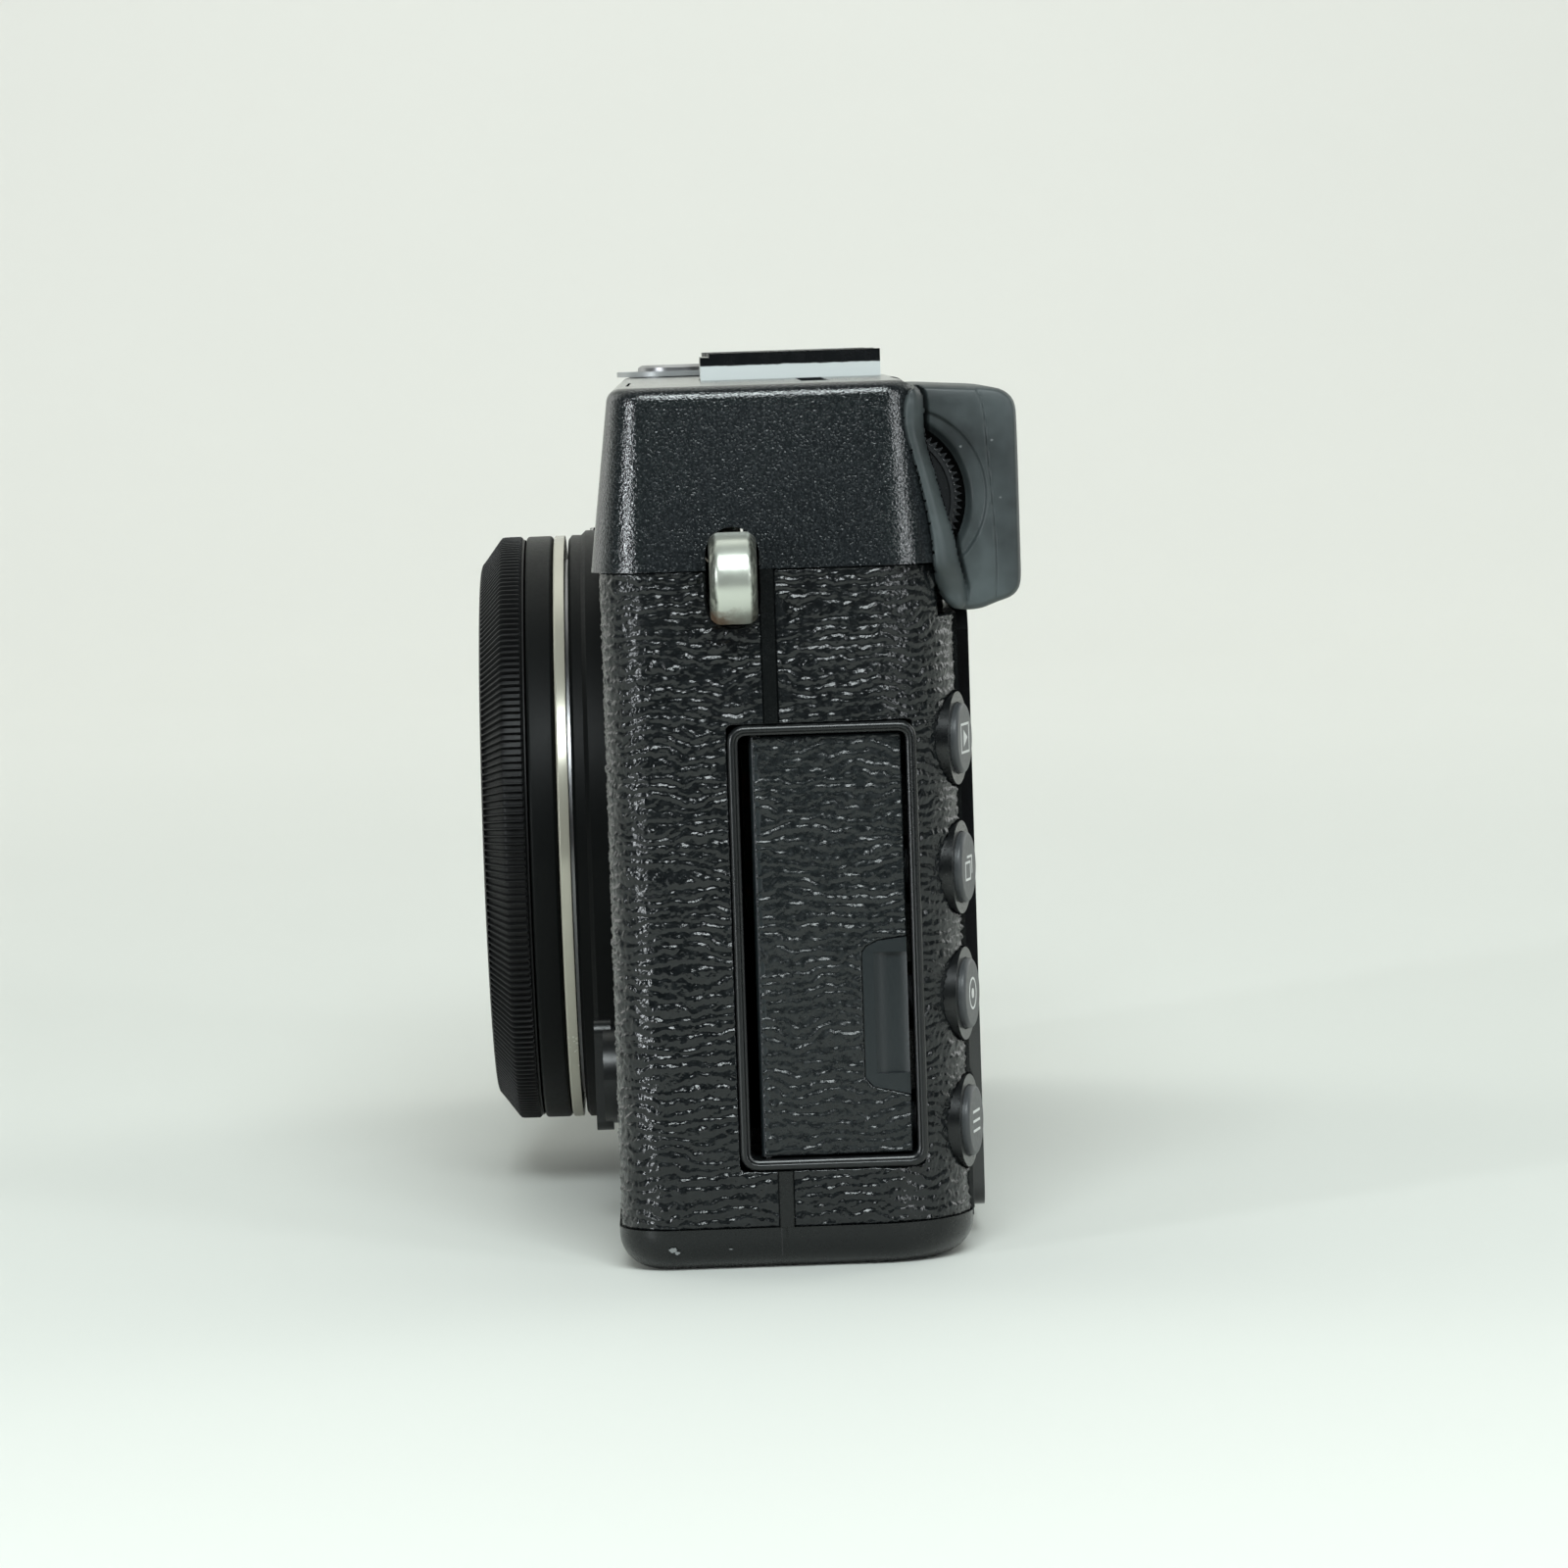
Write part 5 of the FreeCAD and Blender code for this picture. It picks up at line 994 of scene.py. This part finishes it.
def eyecup():
    sil = dense(SIL, True, 0.4, 2)
    flap = dense(FLAP_L + FLAP_R, True, 0.3, 2)
    part = dense(PART, False, 0.5, 2)
    wheel_c, rec_c = (12.0, 62.7), (13.1, 63.0)

    def depth(y, z):
        e = -sd_poly(y, z, sil)
        ef = -sd_poly(y, z, flap)
        body = 0.42 + 0.10 * smooth(z, 66.0, 71.0)
        # shallow hollow round the wheel, with a soft edge
        rr = np.hypot(y - rec_c[0], z - rec_c[1])
        rw = np.hypot(y - wheel_c[0], z - wheel_c[1])
        body = body + 0.30 * (1 - smooth(rr, 7.15, 7.45)) + 0.55 * (1 - smooth(rw, 6.6, 7.4)) * (rr < 7.6)
        # dark gap beside the flap
        body = body + 0.9 * (1 - smooth(-ef, 0.0, 0.42)) * smooth(z, 53.9, 57.0)
        # parting line and the softer lip behind it
        dl = sd_line(y, z, part)
        behind = smooth(y - np.interp(z, part[::-1, 1], part[::-1, 0]), -0.1, 0.25)
        body = body + 0.12 * (1 - smooth(dl, 0.03, 0.13)) + 0.10 * behind
        r = 1.45
        rim = np.where(e < r, r - np.sqrt(np.maximum(r * r - (r - e) ** 2, 0)), 0)
        rf = 1.05
        bar = np.where(ef < rf, rf - np.sqrt(np.maximum(rf * rf - (rf - np.maximum(ef, 0)) ** 2, 0)), 0)
        # the flap lies over the cover's rounded corner, so its outer edge stands proud
        yl = np.interp(z, [p[1] for p in FLAP_L[::-1]], [p[0] for p in FLAP_L[::-1]])
        yr = np.interp(z, [p[1] for p in FLAP_R], [p[0] for p in FLAP_R])
        across = np.clip((y - yl) / np.maximum(yr - yl, 0.4), 0, 1)
        bar = bar * 0.95 - (2.35 - 1.25 * across) * smooth(z, 54.6, 57.6) - 0.25
        body = np.maximum(body, rim) + 0.25 * np.minimum(body, rim)
        return np.where(ef > 0, bar, body)

    def keep(y, z):
        s = -sd_poly(y, z, sil)
        ef = -sd_poly(y, z, flap)
        hole = np.hypot(y - wheel_c[0], z - wheel_c[1]) - 6.72
        return np.minimum(s, np.maximum(hole, ef))

    def to3d(y, z):
        return np.stack([CUP_X - depth(y, z), y, z], 1)

    def back(y, z, P):
        Q = P.copy()
        inner = np.hypot(y - wheel_c[0], z - wheel_c[1]) < 6.8
        Q[:, 0] = np.where(inner, 60.62 - 0.9 * (-sd_poly(y, z, flap) < -0.05), 58.95)
        return Q

    side = patch("eyecup_side", 13.4, 23.3, 53.2, 72.2, 0.11, keep, to3d, back, "camera_body", "rubber", sharp=50)
    # the long body of the cup with its window
    ring = dense(SIL, True, 0.45, 2)
    n = len(ring)
    cen = ring.mean(0)
    t = np.roll(ring, -1, 0) - np.roll(ring, 1, 0)
    nr = np.stack([t[:, 1], -t[:, 0]], 1)
    nr /= np.linalg.norm(nr, axis=1, keepdims=True)
    if ((ring - cen) * nr).sum() < 0:
        nr = -nr
    xs = [59.2, 58.95, 55.8, 50.0, 44.0, 37.2, 34.6, 34.0, 33.5, 33.15, 33.02]
    ins = [0.3, 0, 0, 0, 0, 0, 0, 0.12, 0.45, 0.95, 1.6]
    V, F = [], []
    for x, d in zip(xs, ins):
        pr = ring - nr * d
        V += [(x, p[0], p[1]) for p in pr]
    zlo, zhi = 55.9, 69.3
    flat = (ring[:, 0] > 22.9)
    for i in range(len(xs) - 1):
        for k in range(n):
            l = (k + 1) % n
            if 37.2 <= xs[i + 1] and xs[i] <= 55.8 and flat[k] and flat[l] and zlo < ring[k, 1] < zhi and zlo < ring[l, 1] < zhi:
                continue
            F.append((i * n + k, (i + 1) * n + k, (i + 1) * n + l, i * n + l))
    V.append((33.0, cen[0], cen[1]))
    c = len(V) - 1
    for k in range(n):
        F.append(((len(xs) - 1) * n + k, c, (len(xs) - 1) * n + (k + 1) % n))
    hull = mesh_piece("eyecup_hull", V, F, "camera_body", "rubber", smooth_all=True, sharp_angle=50)
    # window frame in the rear face
    K = 96
    rows = []
    zc, xc = 62.6, 46.5

    def rrect(hx, hz, r, y):
        out = []
        for k in range(K):
            a = 2 * math.pi * k / K
            ca, sa = math.cos(a), math.sin(a)
            m = min(hx / max(abs(ca), 1e-9), hz / max(abs(sa), 1e-9))
            x, z = ca * m, sa * m
            cx_, cz_ = hx - r, hz - r
            if abs(x) > cx_ and abs(z) > cz_:
                dx, dz = abs(x) - cx_, abs(z) - cz_
                L = math.hypot(dx, dz)
                x = math.copysign(cx_ + dx / L * r, x)
                z = math.copysign(cz_ + dz / L * r, z)
            out.append((xc + x, y, zc + z))
        return out
    rows.append(rrect(9.5, 7.2, 0.05, 23.0))
    rows.append(rrect(9.4, 7.0, 0.4, 23.11))
    rows.append(rrect(8.7, 6.35, 2.2, 23.11))
    rows.append(rrect(8.45, 6.1, 2.1, 23.0))
    rows.append(rrect(8.3, 5.95, 2.0, 22.75))
    rows.append(rrect(8.1, 5.8, 1.9, 21.5))
    rows.append(rrect(8.0, 5.7, 1.8, 20.05))
    V = [p for r in rows for p in r]
    F = []
    for i in range(len(rows) - 1):
        for k in range(K):
            l = (k + 1) % K
            F.append((i * K + k, i * K + l, (i + 1) * K + l, (i + 1) * K + k))
    win = mesh_piece("eyecup_window", V, F, "camera_body", "rubber", smooth_all=True, sharp_angle=50)
    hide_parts("eyecup")
    return side, hull, win


def diopter_wheel():
    teeth = 68
    sub = 4
    n = teeth * sub
    base = [6.02, 6.02, 6.43, 6.22]
    r_out = np.array([base[k % sub] for k in range(n)])
    ang = 2 * math.pi * np.arange(n) / n
    rows = []

    def row(r, x):
        rows.append([(x, 12.0 + (r[k] if hasattr(r, "__len__") else r) * math.cos(ang[k]), 62.7 + (r[k] if hasattr(r, "__len__") else r) * math.sin(ang[k])) for k in range(n)])
    row(1.0, 52.0)
    row(1.0, 59.05)
    row(r_out - 0.05, 59.05)
    row(r_out, 59.15)
    row(r_out, 60.15)
    row(r_out - 0.10, 60.28)
    row(5.85, 60.30)
    row(5.72, 60.46)
    row(5.50, 60.46)
    row(5.38, 60.30)
    row(4.6, 60.18)
    row(2.0, 60.12)
    row(0.05, 60.12)
    V = [p for r in rows for p in r]
    F = []
    for i in range(len(rows) - 1):
        for k in range(n):
            l = (k + 1) % n
            F.append((i * n + k, i * n + l, (i + 1) * n + l, (i + 1) * n + k))
    ob = mesh_piece("diopter_wheel_toothed", V, F, "diopter_dial", "wheel", smooth_all=True, sharp_angle=35)
    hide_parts("diopter_dial")


eyecup()
diopter_wheel()


# ------------------------------------------------------------------ strap lugs, door frame, small parts
def ring_rows(name, rows, body, key, closed_rows=False, sharp=45):
    n = len(rows[0])
    V = [p for r in rows for p in r]
    F = []
    m = len(rows)
    for i in range(m if closed_rows else m - 1):
        j = (i + 1) % m
        for k in range(n):
            l = (k + 1) % n
            F.append((i * n + k, i * n + l, j * n + l, j * n + k))
    return mesh_piece(name, V, F, body, key, smooth_all=True, sharp_angle=sharp)


def lug_disc(side):
    n = 128
    cy = -0.62
    half = 1.94
    prof = []
    for t in np.linspace(0, 1, 7):
        a = t * math.pi / 2
        prof.append(("in", 0.30 * (1 - math.cos(a)) * -1 + 0.30, half - 0.30 + 0.30 * math.sin(a)))
    # outer edge: flat band with soft bevels
    outer = [(0.75, half), (0.60, half - 0.02), (0.42, half - 0.10), (0.24, half - 0.28), (0.10, half - 0.50), (0.03, half - 0.66), (0.0, half - 0.84)]
    rows = []

    def circ(cx, r, y):
        return [(side * (cx + r * math.cos(2 * math.pi * k / n)), cy + y, 56.9 + r * math.sin(2 * math.pi * k / n)) for k in range(n)]
    inner = [(1.5, -half + 0.3), (1.5, half - 0.3)]
    seq = []
    for t in np.linspace(0, math.pi / 2, 5):
        seq.append((66.6, 1.5 + 0.3 * (1 - math.cos(t)) , half - 0.3 + 0.3 * math.sin(t)))
    for d, y in outer:
        seq.append((65.7, 3.75 - d, y))
    for d, y in outer[::-1]:
        seq.append((65.7, 3.75 - d, -y))
    for t in np.linspace(math.pi / 2, 0, 5):
        seq.append((66.6, 1.5 + 0.3 * (1 - math.cos(t)), -(half - 0.3 + 0.3 * math.sin(t))))
    for cx_, r, y in seq:
        rows.append(circ(cx_, r, y))
    ob = ring_rows("lug_disc_" + ("left" if side > 0 else "right"), rows, "camera_body", "lug", closed_rows=True, sharp=60)
    return ob


L1 = lug_disc(1)
L2 = lug_disc(-1)
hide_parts("strap_lugs")


def rounded_loop(y0, y1, z0, z1, r, n=10):
    """Loop of (y, z) points round a rounded rectangle, anticlockwise seen from +X."""
    r = max(r, 0.01)
    pts = []
    for cy, cz, a0 in ((y1 - r, z1 - r, 0), (y0 + r, z1 - r, 90), (y0 + r, z0 + r, 180), (y1 - r, z0 + r, 270)):
        for i in range(n + 1):
            a = math.radians(a0 + 90 * i / n)
            pts.append((cy + r * math.cos(a), cz + r * math.sin(a)))
    out = []
    for i, p in enumerate(pts):
        q = pts[(i + 1) % len(pts)]
        L = math.hypot(q[0] - p[0], q[1] - p[1])
        k = max(1, int(L / 0.6))
        for t in range(k):
            out.append((p[0] + (q[0] - p[0]) * t / k, p[1] + (q[1] - p[1]) * t / k))
    return out


def door_frame():
    base = (-1.55, 13.9, 8.2, 44.8)
    prof = [(0.0, 62.0), (0.0, 64.22), (0.05, 64.42), (0.16, 64.55), (0.30, 64.59), (0.42, 64.60), (0.52, 64.56), (0.58, 64.48), (0.62, 64.36), (0.68, 64.30), (0.76, 64.29), (0.83, 64.22), (0.86, 64.05), (0.86, 61.2)]
    rows = []
    loops = []
    for inset, x in prof:
        loop = rounded_loop(base[0] + inset, base[1] - inset, base[2] + inset, base[3] - inset, max(1.35 - inset * 0.9, 0.3))
        loops.append((loop, x))
    n = min(len(l) for l, _ in loops)
    for loop, x in loops:
        p = np.array(loop + loop[:1])
        L = np.concatenate([[0], np.cumsum(np.linalg.norm(np.diff(p, axis=0), axis=1))])
        # the same corner fractions for each loop keep the rows aligned
        t = np.linspace(0, 1, 260, endpoint=False) * L[-1]
        rows.append([(x, a, b) for a, b in zip(np.interp(t, L, p[:, 0]), np.interp(t, L, p[:, 1]))])
    ob = ring_rows("door_frame_rim", rows, "camera_body", "plastic", sharp=40)
    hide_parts("terminal_frame")


door_frame()


# ------------------------------------------------------------------ flash panel
def flash_panel():
    """Ribbed diffuser on the front of the flash head, inside a thin raised rim."""
    x0, x1, z0, z1, y = 18.0, 40.0, 67.1, 70.7, -7.0
    ribs = 24
    V, F = [], []
    zs = []
    for i in range(ribs):
        a = z0 + (z1 - z0) * i / ribs
        b = z0 + (z1 - z0) * (i + 1) / ribs
        zs += [(a, -0.10), (a + (b - a) * 0.75, -0.22), (b - 1e-3, -0.10)]
    for z, d in zs:
        V += [(x0, y + d, z), (x1, y + d, z)]
    n = len(zs)
    for i in range(n - 1):
        F.append((2 * i, 2 * i + 1, 2 * i + 3, 2 * i + 2))
    base = len(V)
    V += [(x0, y, z0), (x1, y, z0), (x1, y, z1), (x0, y, z1)]
    F += [(base, base + 1, 1, 0), (2 * n - 2, 2 * n - 1, base + 2, base + 3)]
    mesh_piece("flash_panel", V, F, "flash", "diffuser")
    # rim round the panel
    rows = []
    for inset, d in ((-0.45, 0.0), (-0.42, -0.22), (-0.34, -0.30), (-0.08, -0.30), (0.0, -0.22), (0.0, 0.0)):
        loop = rounded_loop(x0 + inset, x1 - inset, z0 + inset, z1 - inset, 0.35, 6)
        p = np.array(loop + loop[:1])
        L = np.concatenate([[0], np.cumsum(np.linalg.norm(np.diff(p, axis=0), axis=1))])
        t = np.linspace(0, 1, 160, endpoint=False) * L[-1]
        rows.append([(a, y + d, b) for a, b in zip(np.interp(t, L, p[:, 0]), np.interp(t, L, p[:, 1]))])
    ring_rows("flash_panel_rim", rows, "flash", "plastic", sharp=50)


flash_panel()


# ------------------------------------------------------------------ floor and light
def floor():
    me = bpy.data.meshes.new("floor")
    bm = bmesh.new()
    prof = [(-1.6, 0.0)]
    steps = 60
    xs = [0.22, 0.1, 0.0, -0.3, -0.8]
    pts = [(x, 0.0) for x in xs]
    for i in range(1, 25):
        a = math.pi / 2 * i / 24
        pts.append((-0.8 - 0.9 * math.sin(a), 0.9 - 0.9 * math.cos(a)))
    pts.append((-1.7, 2.4))
    rows = []
    for x, z in pts:
        rows.append([bm.verts.new((x, y, z - 0.00002)) for y in (-1.8, -0.6, 0.0, 0.6, 1.8)])
    for a, b in zip(rows, rows[1:]):
        for i in range(4):
            bm.faces.new((a[i], a[i + 1], b[i + 1], b[i]))
    bmesh.ops.recalc_face_normals(bm, faces=bm.faces)
    bm.to_mesh(me)
    bm.free()
    for p in me.polygons:
        p.use_smooth = True
    ob = bpy.data.objects.new("floor", me)
    scene.collection.objects.link(ob)
    m, nt, b = new_mat("floor_paper")
    v = coords(nt)
    n = noise(nt, v, 4.0, 3.0, 0.5)
    nt.links.new(mix(nt, remap(nt, n, 0.3, 0.7, 0.0, 1.0), (0.695, 0.712, 0.675), (0.71, 0.727, 0.69)), b.inputs["Base Color"])
    b.inputs["Roughness"].default_value = 0.75
    b.inputs["Specular IOR Level"].default_value = 0.25
    me.materials.append(m)


def area(name, loc, target, size, power, color=(1, 1, 1), size_y=None):
    L = bpy.data.lights.new(name, "AREA")
    L.shape = "RECTANGLE"
    L.size = size
    L.size_y = size_y or size
    L.energy = power
    L.color = color
    ob = bpy.data.objects.new(name, L)
    scene.collection.objects.link(ob)
    ob.location = loc
    d = Vector(target) - Vector(loc)
    ob.rotation_euler = d.to_track_quat("-Z", "Y").to_euler()
    return ob


floor()
world = bpy.data.worlds.new("world")
scene.world = world
world.use_nodes = True
wt = world.node_tree
wb = wt.nodes["Background"]
wtc = wt.nodes.new("ShaderNodeTexCoord")
wsep = wt.nodes.new("ShaderNodeSeparateXYZ")
wt.links.new(wtc.outputs["Generated"], wsep.inputs[0])
behind = remap(wt, wsep.outputs["X"], -0.34, 0.08, 1.0, 0.03)
high = remap(wt, wsep.outputs["Z"], 0.45, 1.0, 0.0, 0.14)
level = math_node(wt, "MAXIMUM", behind, high)
wt.links.new(mix(wt, level, (0.0, 0.0, 0.0), (0.93, 0.98, 0.92)), wb.inputs["Color"])
wb.inputs["Strength"].default_value = 1.15
area("top_soft", (-0.40, 0.0, 0.95), (-0.05, 0.0, 0.0), 0.7, 0.6, (1.0, 1.0, 0.98))
area("front_soft", (-0.60, -0.75, 0.35), (0.0, 0.0, 0.03), 0.6, 1.0, (1.0, 1.0, 0.98), 0.6)
area("back_soft", (-0.60, 0.80, 0.35), (0.0, 0.0, 0.03), 0.6, 1.6, (0.98, 1.0, 1.0), 0.6)
area("key_left", (0.80, -0.90, 0.22), (0.06, -0.005, 0.04), 0.08, 5.0, (0.92, 0.97, 1.0), 0.50)
area("key_right", (0.85, 0.78, 0.34), (0.06, 0.0, 0.05), 0.20, 2.8, (0.94, 0.98, 1.0), 0.5)
area("key_high", (0.72, 0.04, 0.66), (0.06, 0.0, 0.04), 0.60, 8.0, (0.90, 0.98, 0.985), 0.30)
area("wall_wash", (-0.75, 0.0, 1.5), (-1.75, 0.0, 1.0), 1.2, 20.0, (1.0, 1.0, 0.98))
